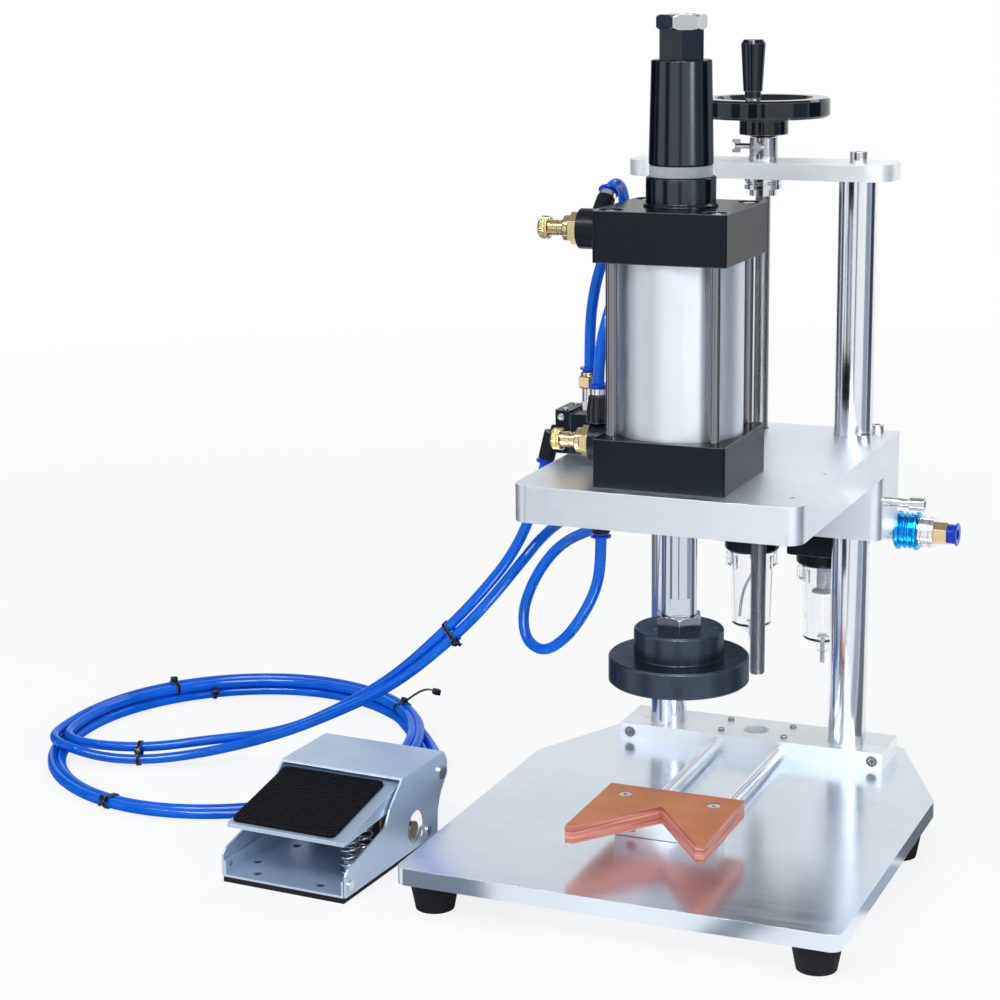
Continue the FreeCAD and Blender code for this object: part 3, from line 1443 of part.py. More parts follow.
def make_pedal_base():
    piece("pedal_mat", on_pedal(group(box("mat_width", "mat_length", "mat_thickness",
                                          "-mat_width / 2", "-mat_front", 0))))
    flanges = [box("sheet_thickness", "mat_length", "tray_flange_height",
                   x, "-mat_front", "tray_bottom") for x in ("-tray_width / 2", "tray_width / 2 - sheet_thickness")]
    tray = fuse(
        box("tray_width", "mat_length", "sheet_thickness", "-tray_width / 2", "-mat_front", "tray_bottom"),
        *[rod("spring_post_radius", "spring_post_height", "spring_x", y, "tray_bottom") for y in SPRING_PLACES],
        *flanges)
    holes = [rod("3.6", "mat_thickness + 4", x, y, "tray_bottom - 1")
             for x, y in (("-28", "-61"), ("24", "-61"), ("-40", "-42"), ("-30", "-4"))]
    holes.append(rod("port_window_radius", 6, "tray_width / 2 - 4", "port_window_y", "port_window_height", "+X"))
    for y, z in RIVETS:
        holes.append(rod("%g + fixed_fit" % RIVET_RADIUS, "tray_width + 2", "-tray_width / 2 - 1", y, z, "+X"))
    piece("pedal_base", on_pedal(cut(tray, *holes)))


def make_pedal_cover():
    edge = "cover_edge"
    outline = [
        ("-72.5", "tray_bottom + seat_gap"),
        ("-72.5", "20"),
        ("-68", "24"),
        ("-14", "36"),
        ("-7", "47"),
        (edge + " - 3", "cover_height"),
        ("cover_rear", "cover_height"),
        ("cover_rear + 5", "cover_height - 8"),
        ("cover_rear + 5", "cover_height - 18"),
        ("cover_rear - 6", "cover_height - 30"),
        ("cover_rear - 11", "cover_height - 42"),
        ("cover_rear - 12", "tray_bottom + seat_gap"),
    ]
    inside = "cover_height - sheet_thickness"
    hollow = [("-90", "-2"), ("-90", inside), ("100", inside), ("100", "-2")]
    owner = side_profile_body("pedal_cover", "cover_width", outline,
                              "cover_width - 2 * sheet_thickness", hollow)
    side_hole(owner, "port_window_y", "port_window_height", "port_window_radius")
    side_hole(owner, "pin_y", "pin_height", "pin_radius + fixed_fit")
    for y, z in RIVETS:
        side_hole(owner, y, z, "%g + fixed_fit" % RIVET_RADIUS)
    on_pedal(owner)


def make_pedal_pin():
    head = "pin_radius + 1.6"
    pin = fuse(
        rod("pin_radius", "cover_width + 2", "-cover_width / 2 - 1", "pin_y", "pin_height", "+X"),
        rod(head, "1.5", "cover_width / 2", "pin_y", "pin_height", "+X"),
        rod(head, "1.5", "-cover_width / 2", "pin_y", "pin_height", "-X"))
    rivets = []
    for y, z in RIVETS:
        for side, axis in (("", "+X"), ("-", "-X")):
            inner = "tray_width / 2 - sheet_thickness"
            rivets.append(fuse(
                rod(RIVET_RADIUS, "cover_width / 2 - (%s)" % inner, "%s(%s)" % (side, inner), y, z, axis),
                rod(RIVET_RADIUS + 1.2, "1", side + "cover_width / 2", y, z, axis)))
    piece("pedal_pin_and_rivets", on_pedal(group(pin, *rivets)))


def make_treadle():
    top_front = ("-treadle_front", "treadle_front_height")
    outline = [
        ("-treadle_front", "treadle_front_height - treadle_lip"),
        top_front,
        ("cover_edge", "treadle_rear_height"),
        ("pin_y - 10", "treadle_rear_height"),
        ("pin_y + 5", "pin_height + 7"),
        ("pin_y + 7", "pin_height"),
        ("pin_y + 3", "pin_height - 6"),
        ("0", "pin_height - 6"),
    ]
    sheet = "treadle_sheet"
    inner_front = "-treadle_front + " + sheet
    hollow = [
        (inner_front, "10"),
        (inner_front, "treadle_front_height - " + sheet),
        ("cover_edge", "treadle_rear_height - " + sheet),
        ("pin_y + 20", "treadle_rear_height - " + sheet),
        ("pin_y + 20", "10"),
    ]
    owner = side_profile_body("treadle", "treadle_width", outline, "treadle_width - 2 * " + sheet, hollow)
    side_hole(owner, "pin_y", "pin_height", "pin_radius + running_fit")
    on_pedal(owner)


def make_treadle_pad():
    """Ribbed rubber, lying on the slope of the treadle."""
    left = "-pad_width / 2 - pad_offset"
    blank = rounded(box("pad_width", "pad_length", "pad_thickness", left, 0, 0), "pad_corner", upright)
    count = int(size("pad_groove_count"))
    grooves = [box("pad_width + 2", "pad_groove_width", "pad_groove_depth + 1", left + " - 1",
                   "pad_length / (pad_groove_count + 1) * %d - pad_groove_width / 2" % (i + 1),
                   "pad_thickness - pad_groove_depth") for i in range(count)]
    pad_item = cut(blank, *grooves)
    seat = Vector(0, -size("treadle_front") + 3, size("treadle_front_height"))
    slope = size("treadle_slope")
    lift = 3 * math.tan(math.radians(slope))
    pad_item.Placement = Placement(seat + Vector(0, 0, lift), Rotation(Vector(1, 0, 0), slope))
    piece("treadle_pad", on_pedal(pad_item))


def make_treadle_spring():
    bottom, wire = size("tray_top"), size("spring_wire")
    springs = []
    for y in SPRING_PLACES:
        near = size("treadle_front - spring_radius - spring_wire / 2") + size(y)
        slope = math.tan(math.radians(size("treadle_slope")))
        underside = size("treadle_front_height - treadle_sheet") + near * slope
        height = underside - size("seat_gap") - bottom - wire
        coil = Part.makeHelix(height / size("spring_turns"), height, size("spring_radius"))
        start = Vector(size("spring_radius"), 0, 0)
        section = Part.Wire([Part.Circle(start, Vector(0, 1, 0), wire / 2).toShape()])
        spring = shaped(Part.Wire(coil).makePipeShell([section], True, True))
        spring.Placement = Placement(Vector(size("spring_x"), size(y), bottom + wire / 2), Rotation())
        springs.append(spring)
    piece("treadle_spring", on_pedal(group(*springs)))


def make_pedal_valve():
    floor = "tray_top"
    rear = "pedal_valve_front + pedal_valve_depth"
    block = fuse(
        box("pedal_valve_width", "pedal_valve_depth", "pedal_valve_height",
            "-pedal_valve_width / 2", "pedal_valve_front", floor),
        rod("4", "12", 0, "pedal_valve_front + 16", floor + " + pedal_valve_height"),
        rod("elbow_radius", PEDAL_PORT_LENGTH, PEDAL_PORT_SPACING, rear, PEDAL_PORT_HEIGHT, "+Y"),
        rod("elbow_radius", PEDAL_PORT_LENGTH, -PEDAL_PORT_SPACING, rear, PEDAL_PORT_HEIGHT, "+Y"))
    plug = fuse(
        hexagon("plug_radius + 1", "6", "pedal_valve_width / 2", "port_window_y", "port_window_height - 3", "+X"),
        rod("plug_radius - 1", "cover_width / 2 - 8 - pedal_valve_width / 2",
            "pedal_valve_width / 2 + 6", "port_window_y", "port_window_height - 3", "+X"))
    piece("pedal_valve", on_pedal(group(block, plug)))


BUILDERS = (
    make_base_plate, make_feet, make_base_block, make_base_block_screws,
    make_columns, make_top_plate, make_top_plate_bolts, make_screw_bearing,
    make_lead_screw, make_lock_collar, make_handwheel, make_handle,
    make_carriage_plate, make_slide_block, make_slide_bushes, make_lead_nut,
    make_carriage_screws, make_lock_bolt, make_caps, make_barrel, make_tie_rods,
    make_rod_gland, make_ram, make_crimp_head, make_crimp_collet,
    make_flow_controls, make_valve_body, make_hose_fittings,
    make_air_unit, make_bowls, make_regulator_knob, make_slide_valve,
    make_locator, make_pedal_base, make_pedal_cover, make_pedal_pin,
    make_treadle, make_treadle_pad, make_treadle_spring, make_pedal_valve,
    make_hose_coil, make_hoses,
)


def check_and_write():
    doc.recompute()
    for item in doc.Objects:
        if "Invalid" in item.State or "Error" in item.State:
            raise RuntimeError("%s (%s) failed" % (item.Name, item.Label))
    for label, item in NODES:
        shape = item.Shape
        if shape.isNull() or not shape.isValid() or not shape.Solids:
            raise RuntimeError(label + " has no valid solid")
    for label, item in NODES:
        item.Shape.exportStep("parts/%s.step" % label)
        print("%-22s %2d solids  %10.0f mm3" % (label, len(item.Shape.Solids), item.Shape.Volume))
    print(len(NODES), "nodes")


for make in BUILDERS:
    make()
check_and_write()
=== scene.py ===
"""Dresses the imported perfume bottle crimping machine. Metres, X right, Y away, Z up."""
import math

import bmesh
import bpy
from mathutils import Matrix, Vector


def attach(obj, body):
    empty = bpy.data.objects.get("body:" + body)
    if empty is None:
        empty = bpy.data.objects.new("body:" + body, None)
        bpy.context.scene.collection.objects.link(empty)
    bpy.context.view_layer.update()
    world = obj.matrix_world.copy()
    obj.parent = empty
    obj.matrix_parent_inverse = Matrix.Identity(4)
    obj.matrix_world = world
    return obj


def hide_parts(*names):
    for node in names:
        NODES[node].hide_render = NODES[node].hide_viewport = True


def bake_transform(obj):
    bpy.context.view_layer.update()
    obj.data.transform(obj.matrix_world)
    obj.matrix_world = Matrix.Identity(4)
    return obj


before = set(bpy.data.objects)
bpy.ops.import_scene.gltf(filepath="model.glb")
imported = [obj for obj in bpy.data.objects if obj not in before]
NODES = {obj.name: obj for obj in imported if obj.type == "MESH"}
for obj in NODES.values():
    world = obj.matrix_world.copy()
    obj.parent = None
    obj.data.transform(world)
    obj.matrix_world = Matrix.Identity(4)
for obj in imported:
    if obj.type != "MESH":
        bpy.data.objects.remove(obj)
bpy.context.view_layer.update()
MM = 0.001


def placed(name, data):
    """An object of some data, in the scene."""
    item = bpy.data.objects.new(name, data)
    bpy.context.scene.collection.objects.link(item)
    return item


# Camera, at the photograph's place and angle
CAMERA_PLACE = (0.5148, -1.5499, 0.6498)
CAMERA_AZIMUTH, CAMERA_ELEVATION, CAMERA_ROLL = 23.16, 12.47, -0.65
CAMERA_LENS, CAMERA_SENSOR = 84.63, 36
CAMERA_SHIFT = (-0.0076, -0.0318)
CAMERA_NEAR = 0.05


def add_camera():
    data = bpy.data.cameras.new("Camera")
    camera = placed("Camera", data)
    angles = (CAMERA_AZIMUTH, CAMERA_ELEVATION, CAMERA_ROLL)
    azimuth, elevation, roll = (math.radians(angle) for angle in angles)
    look = Vector((-math.sin(azimuth) * math.cos(elevation), math.cos(azimuth) * math.cos(elevation),
                   -math.sin(elevation)))
    right = look.cross(Vector((0, 0, 1))).normalized()
    up = right.cross(look)
    turned_right = right * math.cos(roll) + up * math.sin(roll)
    turned_up = up * math.cos(roll) - right * math.sin(roll)
    rotation = Matrix((turned_right, turned_up, -look)).transposed().to_4x4()
    camera.matrix_world = Matrix.Translation(CAMERA_PLACE) @ rotation
    data.sensor_fit = "HORIZONTAL"
    data.sensor_width = CAMERA_SENSOR
    data.lens = CAMERA_LENS
    data.shift_x, data.shift_y = CAMERA_SHIFT
    data.clip_start = CAMERA_NEAR
    bpy.context.scene.camera = camera


add_camera()


# Hoses: each route repeats the list of the solid model, in millimetres
PEDAL = (-243, -108.5, -3)


def on_pedal(x, y, z):
    """A place given in the pedal's own axes."""
    turn = math.radians(PEDAL[2])
    return (PEDAL[0] + x * math.cos(turn) - y * math.sin(turn),
            PEDAL[1] + x * math.sin(turn) + y * math.cos(turn), z)


COIL_CENTRE = (-430, 74)
COIL_RADII = (146.65, 155.35)
STEPS_PER_POINT, TUBE_ROUNDNESS = 10, 5


def around(radius, angle, height, ahead=0):
    """A point on the coil, by radius and angle, or that far ahead of it along the hose's direction there."""
    turn = math.radians(angle)
    return (COIL_CENTRE[0] + radius * math.cos(turn) + ahead * math.sin(turn),
            COIL_CENTRE[1] + radius * math.sin(turn) - ahead * math.cos(turn), height)


def nurbs(name, points, radius):
    """A round tube along a spline through the points' polygon. The points are in millimetres."""
    data = bpy.data.curves.new(name, "CURVE")
    data.dimensions = "3D"
    data.resolution_u = STEPS_PER_POINT
    data.bevel_depth = radius
    data.bevel_resolution = TUBE_ROUNDNESS
    data.use_fill_caps = True
    spline = data.splines.new("NURBS")
    spline.points.add(len(points) - 1)
    for item, point in zip(spline.points, points):
        item.co = (point[0] * MM, point[1] * MM, point[2] * MM, 1)
    spline.order_u = 3
    spline.use_endpoint_u = True
    return placed(name, data)


def followed_line(curve):
    """The points of the spline itself, read from the curve with no bevel."""
    bare = curve.data.copy()
    bare.bevel_depth = 0
    holder = placed("Holder", bare)
    bpy.context.view_layer.update()
    line = bpy.data.meshes.new_from_object(holder)
    points = [tuple(vertex.co) for vertex in line.vertices]
    bpy.data.objects.remove(holder)
    return points


def as_tube(curve):
    """The curve as a mesh of its own, with the line that it follows."""
    path = followed_line(curve)
    bpy.context.view_layer.update()
    mesh = bpy.data.meshes.new_from_object(curve.evaluated_get(bpy.context.evaluated_depsgraph_get()))
    name = curve.name
    bpy.data.objects.remove(curve)
    tube = placed(name, mesh)
    for face in mesh.polygons:
        face.use_smooth = True
    return tube, path


COIL_START, COIL_STEP, COIL_STEPS = 174.9, 20.2, 25
UPPER_LAYER, LOWER_LAYER = 13.5, 4.8
DROP_START, DROP_END = 20, -30
FLARE, FLARE_ANGLE = 7, -75
SQUEEZE, SQUEEZE_ANGLE = 9, 185
DRIFT, DRIFT_RATE = 1.5, 2.3


def coil_turns(radius, turn):
    """Corners round the coil. The spline rounds them off to about this radius, and the ring lies loosely."""
    outside = radius / math.cos(math.radians(COIL_STEP / 2))
    points = []
    for step in range(COIL_STEPS):
        angle = COIL_START - COIL_STEP * step
        share = min(1, max(0, (DROP_START - angle) / (DROP_START - DROP_END)))
        height = UPPER_LAYER + (LOWER_LAYER - UPPER_LAYER) * share
        flare = FLARE * max(0, math.cos(math.radians(angle - FLARE_ANGLE)))
        squeeze = SQUEEZE * max(0, math.cos(math.radians(angle - SQUEEZE_ANGLE)))
        loose = flare - squeeze + DRIFT * turn * math.sin(math.radians(DRIFT_RATE * angle))
        points.append(around(outside + loose, angle, height))
    return points


TAIL_ANGLE, TAIL_LEAD, TAIL_SHIFT, PORT_HEIGHT = 40, 36, 5, 22


def tail(radius, turn):
    """The end of a hose, from the coil into the pedal."""
    shift = TAIL_SHIFT * turn
    return [
        around(radius, TAIL_ANGLE, LOWER_LAYER), around(radius, TAIL_ANGLE, LOWER_LAYER, TAIL_LEAD),
        (-262 - 3.8 * turn, 104 - 2.2 * turn, LOWER_LAYER), (-243 - 4.4 * turn, 55, 12),
        on_pedal(-shift, 118, PORT_HEIGHT), on_pedal(-shift, 68, PORT_HEIGHT),
    ]


HOSE_RADIUS = 0.004
LEAD_A = [
    (-126, 21.5, 282), (-135, 21.5, 246), (-150.4, 16, 208.7), (-177.3, 15, 174.9), (-208, 20, 143),
    (-256.5, 25, 97.5), (-315.5, 40, 59), (-370, 46, 31), (-431, 38, 20), (-477, 19, 13.5), (-518, 8, 13.5),
    (-550, 12, 13.5), (-566, 33, 13.5),
]
LEAD_B = [
    (-62, 195, 206.5), (-92, 195, 206.5), (-118, 168, 213), (-125, 118, 223), (-129, 70, 226), (-134, 34, 220),
    (-145, 17, 202), (-170.7, 13, 169), (-202, 19.7, 137), (-253.5, 17, 92.5), (-316.5, 31.5, 57),
    (-370, 37.5, 31), (-429, 30, 12), (-474.5, 11, 5.5), (-511, -1, 7), (-542, -5, 13.5), (-567, 10, 13.5),
    (-575, 36, 13.5),
]
LOOP = [
    (-50.3, -65, 252.4), (-50.3, -65, 231), (-55, -62, 210), (-68, -56, 187), (-85, -46, 166), (-107, -33, 150),
    (-126, -22, 154), (-132, -13, 172), (-128, -6, 191), (-119, 0, 209), (-106, 5, 224), (-88, 9, 233),
    (-74, 11, 238), (-66, 12, 253),
]
UPPER_HOSE = [
    (-91, 20, 349), (-91, 20, 382), (-87, 20, 411), (-80, 23, 437), (-71, 27, 456), (-63.5, 20.1, 474.1),
    (-62, 4.1, 488.1), (-62, -13.1, 488), (-62, -19.9, 482.1),
]
LOWER_HOSE = [
    (-59.7, -44, 350), (-59.7, -44, 374), (-55.7, -34, 403), (-56.7, -13, 419), (-64.7, 8, 415), (-72, 22, 392),
    (-72, 24, 366), (-72, 24, 340),
]
BLEND_START, BLEND_END = (0, 0, 0.03), (0, 0, 0.20)


def pedal_hose(name, route, nodes):
    """A hose that lies on the floor at one end and runs up to the carriage at the other."""
    piece, path = as_tube(nurbs(name, route, HOSE_RADIUS))
    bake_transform(piece)
    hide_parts(*nodes)
    return piece, path


def carriage_hose(name, route, node):
    """A short hose with both its ends on the carriage."""
    piece, path = as_tube(nurbs(name, route, HOSE_RADIUS))
    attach(piece, "carriage")
    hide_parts(node)
    return piece


HOSE_A, PATH_A = pedal_hose("pedal_hose_a", LEAD_A + coil_turns(COIL_RADII[0], 1) + tail(COIL_RADII[0], 1),
                            ("lead_hose_a", "tail_hose_a", "hose_coil"))
HOSE_B, PATH_B = pedal_hose("pedal_hose_b", LEAD_B + coil_turns(COIL_RADII[1], -1) + tail(COIL_RADII[1], -1),
                            ("lead_hose_b", "tail_hose_b", "hose_coil"))
CARRIAGE_HOSES = [
    carriage_hose("pilot_loop_hose", LOOP, "loop_hose"),
    carriage_hose("upper_cylinder_hose", UPPER_HOSE, "cylinder_hoses"),
    carriage_hose("lower_cylinder_hose", LOWER_HOSE, "cylinder_hoses"),
]


# Mesh building, in millimetres until a piece is made of it
UP, DOWN, RIGHT, LEFT, FRONT = (0, 0, 1), (0, 0, -1), (1, 0, 0), (-1, 0, 0), (0, -1, 0)


def square_to(direction):
    """Two directions square to one, and that one, each of length one."""
    along = Vector(direction).normalized()
    side = along.orthogonal().normalized()
    return side, along.cross(side), along


def lathe(mesh, profile, start, direction, segments=40, closed=False, teeth=None):
    """Turns a profile of (radius, distance) round an axis. Teeth are (first row, last row, depth)."""
    side, other, along = square_to(direction)
    rings = []
    for row, (radius, distance) in enumerate(profile):
        ring = []
        for i in range(segments):
            turn = math.tau * i / segments
            reach = radius
            if teeth and teeth[0] <= row <= teeth[1] and i % 2:
                reach -= teeth[2]
            spoke = side * math.cos(turn) + other * math.sin(turn)
            ring.append(mesh.verts.new(Vector(start) + along * distance + spoke * reach))
        rings.append(ring)
    pairs = list(zip(rings, rings[1:]))
    if closed:
        pairs.append((rings[-1], rings[0]))
    else:
        mesh.faces.new(reversed(rings[0]))
        mesh.faces.new(rings[-1])
    for near, far in pairs:
        for i in range(segments):
            j = (i + 1) % segments
            mesh.faces.new((near[i], near[j], far[j], far[i]))


def block(mesh, centre, axes, sizes, bevel):
    """A block with rounded edges, along three axes."""
    corners = [Vector((x, y, z)) for x in (-0.5, 0.5) for y in (-0.5, 0.5) for z in (-0.5, 0.5)]
    frame_axes = [Vector(axis).normalized() for axis in axes]
    verts = [mesh.verts.new(Vector(centre) + sum((axis * corner[i] * sizes[i]
                                                  for i, axis in enumerate(frame_axes)), Vector()))
             for corner in corners]
    faces = [mesh.faces.new([verts[i] for i in ring]) for ring in
             ((0, 1, 3, 2), (4, 6, 7, 5), (0, 4, 5, 1), (2, 3, 7, 6), (0, 2, 6, 4), (1, 5, 7, 3))]
    edges = list({edge for face in faces for edge in face.edges})
    bmesh.ops.bevel(mesh, geom=edges, offset=bevel, segments=2, affect="EDGES", profile=0.5)


def ribbon(mesh, points, normals, across, width, thickness, closed=False):
    """A flat band through points, wide along one direction and thick along the normals."""
    rows = []
    for point, normal in zip(points, normals):
        rows.append([mesh.verts.new(Vector(point) + across * x + normal * z)
                     for x, z in ((-width / 2, 0), (width / 2, 0), (width / 2, thickness), (-width / 2, thickness))])
    pairs = list(zip(rows, rows[1:]))
    if closed:
        pairs.append((rows[-1], rows[0]))
    else:
        mesh.faces.new(reversed(rows[0]))
        mesh.faces.new(rows[-1])
    for near, far in pairs:
        for i in range(4):
            j = (i + 1) % 4
            mesh.faces.new((near[i], near[j], far[j], far[i]))


SMOOTH_BELOW = math.radians(38)


def finished(name, mesh, body=None, replaced=()):
    """Makes one piece of a mesh, with sharp corners kept and round sides smooth."""
    bmesh.ops.recalc_face_normals(mesh, faces=mesh.faces)
    bmesh.ops.scale(mesh, vec=(MM, MM, MM), verts=mesh.verts)
    for face in mesh.faces:
        face.smooth = True
    for edge in mesh.edges:
        if len(edge.link_faces) == 2 and edge.calc_face_angle(0) > SMOOTH_BELOW:
            edge.smooth = False
    data = bpy.data.meshes.new(name)
    mesh.to_mesh(data)
    mesh.free()
    piece = placed(name, data)
    if body:
        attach(piece, body)
    if replaced:
        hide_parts(*replaced)
    return piece


# Cable ties round both pedal hoses
def nearest(path, target):
    """The path's point nearest to a target, and the path's direction there."""
    place = min(range(1, len(path) - 1), key=lambda i: (Vector(path[i]) - target).length)
    return Vector(path[place]) / MM, (Vector(path[place + 1]) - Vector(path[place - 1])).normalized()


TIE_WIDTH, TIE_THICKNESS, TIE_GAP = 3.4, 1.1, 0.1
TIE_HEAD, TIE_TAIL_HEAD, TIE_BEVEL = (5.6, 5.0, 4.6), (6.2, 6.2, 5.2), 0.9
TIE_STEPS, TAIL_STEPS = 10, 8
TAIL_CURL, TAIL_SWEEP, TAIL_TAPER, LONG_TAIL = 0.35, 2.2, 0.8, 3


def cable_tie(name, target, head_side, tail_length, lift=0.0):
    """A band round the two hoses nearest to a target, its head on one side. A long tail ends in a second head."""
    first, along = nearest(PATH_A, Vector(target) * MM)
    second, _ = nearest(PATH_B, first * MM)
    gap = second - first
    gap -= along * gap.dot(along)
    across = gap.normalized()
    up = along.cross(across).normalized()
    if up.z < 0:
        up = -up
    half, reach = gap.length / 2, HOSE_RADIUS / MM + TIE_GAP
    middle = first + gap / 2
    points, normals = [], []
    for end in (1, -1):
        for step in range(TIE_STEPS + 1):
            turn = math.pi * (step / TIE_STEPS - 0.5) + (0 if end == 1 else math.pi)
            normal = across * math.cos(turn) + up * math.sin(turn)
            points.append(middle + across * half * end + normal * reach)
            normals.append(normal)
    mesh = bmesh.new()
    ribbon(mesh, points, normals, along, TIE_WIDTH, TIE_THICKNESS, closed=True)
    side = (across * head_side[0] + up * head_side[1]).normalized()
    out = half * abs(side.dot(across)) + reach + TIE_HEAD[2] / 2
    seat = middle + side * out
    swing = side.cross(along).normalized()
    block(mesh, seat, (along, swing, side), TIE_HEAD, TIE_BEVEL)
    tail_points, tail_normals = [], []
    for step in range(TAIL_STEPS + 1):
        share = step / TAIL_STEPS
        curl = side * (tail_length * TAIL_CURL * math.sin(share * TAIL_SWEEP))
        bend = curl + swing * (TIE_HEAD[1] / 2 + tail_length * share)
        tail_points.append(seat + bend + Vector((0, 0, lift * share)))
        tail_normals.append(side)
    ribbon(mesh, tail_points, tail_normals, along, TIE_WIDTH * TAIL_TAPER, TIE_THICKNESS)
    if tail_length > LONG_TAIL * TIE_HEAD[0]:
        block(mesh, tail_points[-1] + swing * TIE_HEAD[0] / 2, (along, swing, side), TIE_TAIL_HEAD, TIE_BEVEL)
    piece = finished(name, mesh)
    if first.z * MM > BLEND_START[2]:
        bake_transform(piece)
    else:
        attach(piece, "base")
    return piece


TIES = [
    cable_tie("cable_tie_1", (-205, 20, 141), (0.9, 0.4), 3),
    cable_tie("cable_tie_2", (-486, 20, 14), (0.2, 1.0), 4),
    cable_tie("cable_tie_3", around(150, 141, 13.5), (0.2, 1.0), 3),
    cable_tie("cable_tie_4", around(146, 127, 4.8), (-1.0, 0.2), 4),
    cable_tie("cable_tie_5", around(150, 47, 13.5), (0.3, 1.0), 24, 5),
    cable_tie("cable_tie_6", around(146, 262, 4.8), (0.9, 0.5), 4),
]


# Turned and threaded metal
SCREW_AXIS = (0, 145)
THREAD_STARTS, PER_TURN = (0, 0.5), 24
THREAD_FORM = ((1, 0.0), (0, 0.13), (0, 0.24), (1, 0.37))
WELD = 0.002


def thread(mesh, bottom, top, radius, depth, lead):
    """A right-hand thread of two starts, carried up a helix and run out at both ends. Each corner of its form
    is one in the groove or nought on the crest, and a share of the lead."""
    profile = [(radius - depth * low, share + start) for start in THREAD_STARTS for low, share in THREAD_FORM]
    count = len(profile)
    rows = []
    for step in range(-PER_TURN, int((top - bottom) / lead * PER_TURN) + 1):
        turn = math.tau * step / PER_TURN
        row = []
        for reach, share in profile:
            height = min(max(bottom + lead * (step / PER_TURN + share), bottom), top)
            fade = min(1, min(height - bottom, top - height) / (lead / 2))
            distance = radius - depth + (reach - radius + depth) * fade
            row.append(mesh.verts.new((SCREW_AXIS[0] + distance * math.cos(turn),
                                       SCREW_AXIS[1] + distance * math.sin(turn), height)))
        rows.append(row)
    for place in range(len(rows) - 1):
        near, far = rows[place], rows[place + 1]
        for k in range(count - 1):
            mesh.faces.new((near[k], far[k], far[k + 1], near[k + 1]))
        if place + PER_TURN + 1 < len(rows):
            above, beyond = rows[place + PER_TURN], rows[place + PER_TURN + 1]
            mesh.faces.new((near[count - 1], far[count - 1], beyond[0], above[0]))
    bmesh.ops.remove_doubles(mesh, verts=mesh.verts, dist=WELD)
    bmesh.ops.dissolve_degenerate(mesh, edges=mesh.edges, dist=WELD)
    bmesh.ops.holes_fill(mesh, edges=mesh.edges, sides=0)


def add_lead_screw():
    """The thread and, above it, the plain end that carries the handwheel."""
    mesh = bmesh.new()
    thread(mesh, bottom=94.2, top=467.2, radius=6, depth=0.85, lead=3)
    lathe(mesh, ((4.4, 466.9), (5, 467.6), (5, 528.2), (4.4, 528.8)), (*SCREW_AXIS, 0), UP)
    return finished("lead_screw_thread", mesh, "wheel", ["lead_screw"])


def add_thrust_balls():
    """Balls and cage between the two races of the lead screw's bearing."""
    mesh = bmesh.new()
    height, radius, count, ball = 477, 11.2, 14, 1.25
    inner, outer, half = radius - 2.2, radius + 2.2, 0.35
    lathe(mesh, ((inner, -half), (outer, -half), (outer, half), (inner, half)), (*SCREW_AXIS, height), UP, 48,
          closed=True)
    for i in range(count):
        turn = math.tau * i / count
        centre = (SCREW_AXIS[0] + radius * math.cos(turn), SCREW_AXIS[1] + radius * math.sin(turn), height)
        bmesh.ops.create_icosphere(mesh, subdivisions=2, radius=ball, matrix=Matrix.Translation(centre))
    return finished("thrust_balls", mesh, "base")


FLOW_Y = -44


def add_knob(name, face, height, body, node):
    """A knurled adjusting knob on a turned stem, its needle inside the body."""
    mesh = bmesh.new()
    axis = (face, FLOW_Y, height)
    lathe(mesh, ((2.4, 0), (3, 0.8), (3, 9)), axis, RIGHT, 24)
    lathe(mesh, ((4.9, 0), (5.5, 0.6), (5.5, 3.2), (4.6, 3.8), (4.6, 4.6), (5.5, 5.2), (5.5, 11.2)), axis, LEFT)
    lathe(mesh, ((6.6, 11), (7.9, 12), (7.9, 14), (7.2, 14.4), (7.2, 14.9), (7.9, 15.3), (7.9, 17.3), (6.7, 18.5),
                 (3.2, 18.5), (2.8, 17.7)), axis, LEFT, 72, teeth=(1, 6, 0.5))
    return finished(name, mesh, body, [node])


RELEASE_RINGS = (
    (UPPER_HOSE[0], UP), (LOWER_HOSE[-1], UP), ((-62, -19.92, 482.07), (0, 8, 7)), (LOWER_HOSE[0], UP),
    (LOOP[0], DOWN), (LOOP[-1], (-8, -1, -15)), (LEAD_A[0], (-5, 0, -20)), (LEAD_B[0], LEFT),
)


def add_release_rings():
    """The flanged ring that frees a hose, at the mouth of each push-in fitting."""
    mesh = bmesh.new()
    for mouth, direction in RELEASE_RINGS:
        lathe(mesh, ((4.25, 0), (5.3, 0), (5.3, 1.4), (7.1, 2.1), (7.3, 2.6), (7.1, 3.4), (5.4, 3.6), (4.25, 3.4)),
              mouth, direction, closed=True)
    return finished("release_rings", mesh, "carriage")


UNIT_Y, INLET_Z = 195, 206.5


def add_slide_sleeve():
    """The blue hand sleeve: flanged ends with finger grooves between them, bored through."""
    mesh = bmesh.new()
    profile = ((9.2, 0), (13.9, 0), (15, 1), (15, 3.4), (12.7, 5), (12.7, 5.8), (14, 6.8), (14, 8), (12.7, 9),
               (12.7, 9.8), (14, 10.8), (14, 12), (12.7, 13), (13.2, 14), (15, 15.4), (15, 17), (13.9, 18), (9.2, 18))
    lathe(mesh, profile, (96.2, UNIT_Y, INLET_Z), RIGHT, 64, closed=True)
    return finished("hand_sleeve", mesh, "inlet_sleeve", ["slide_sleeve"])


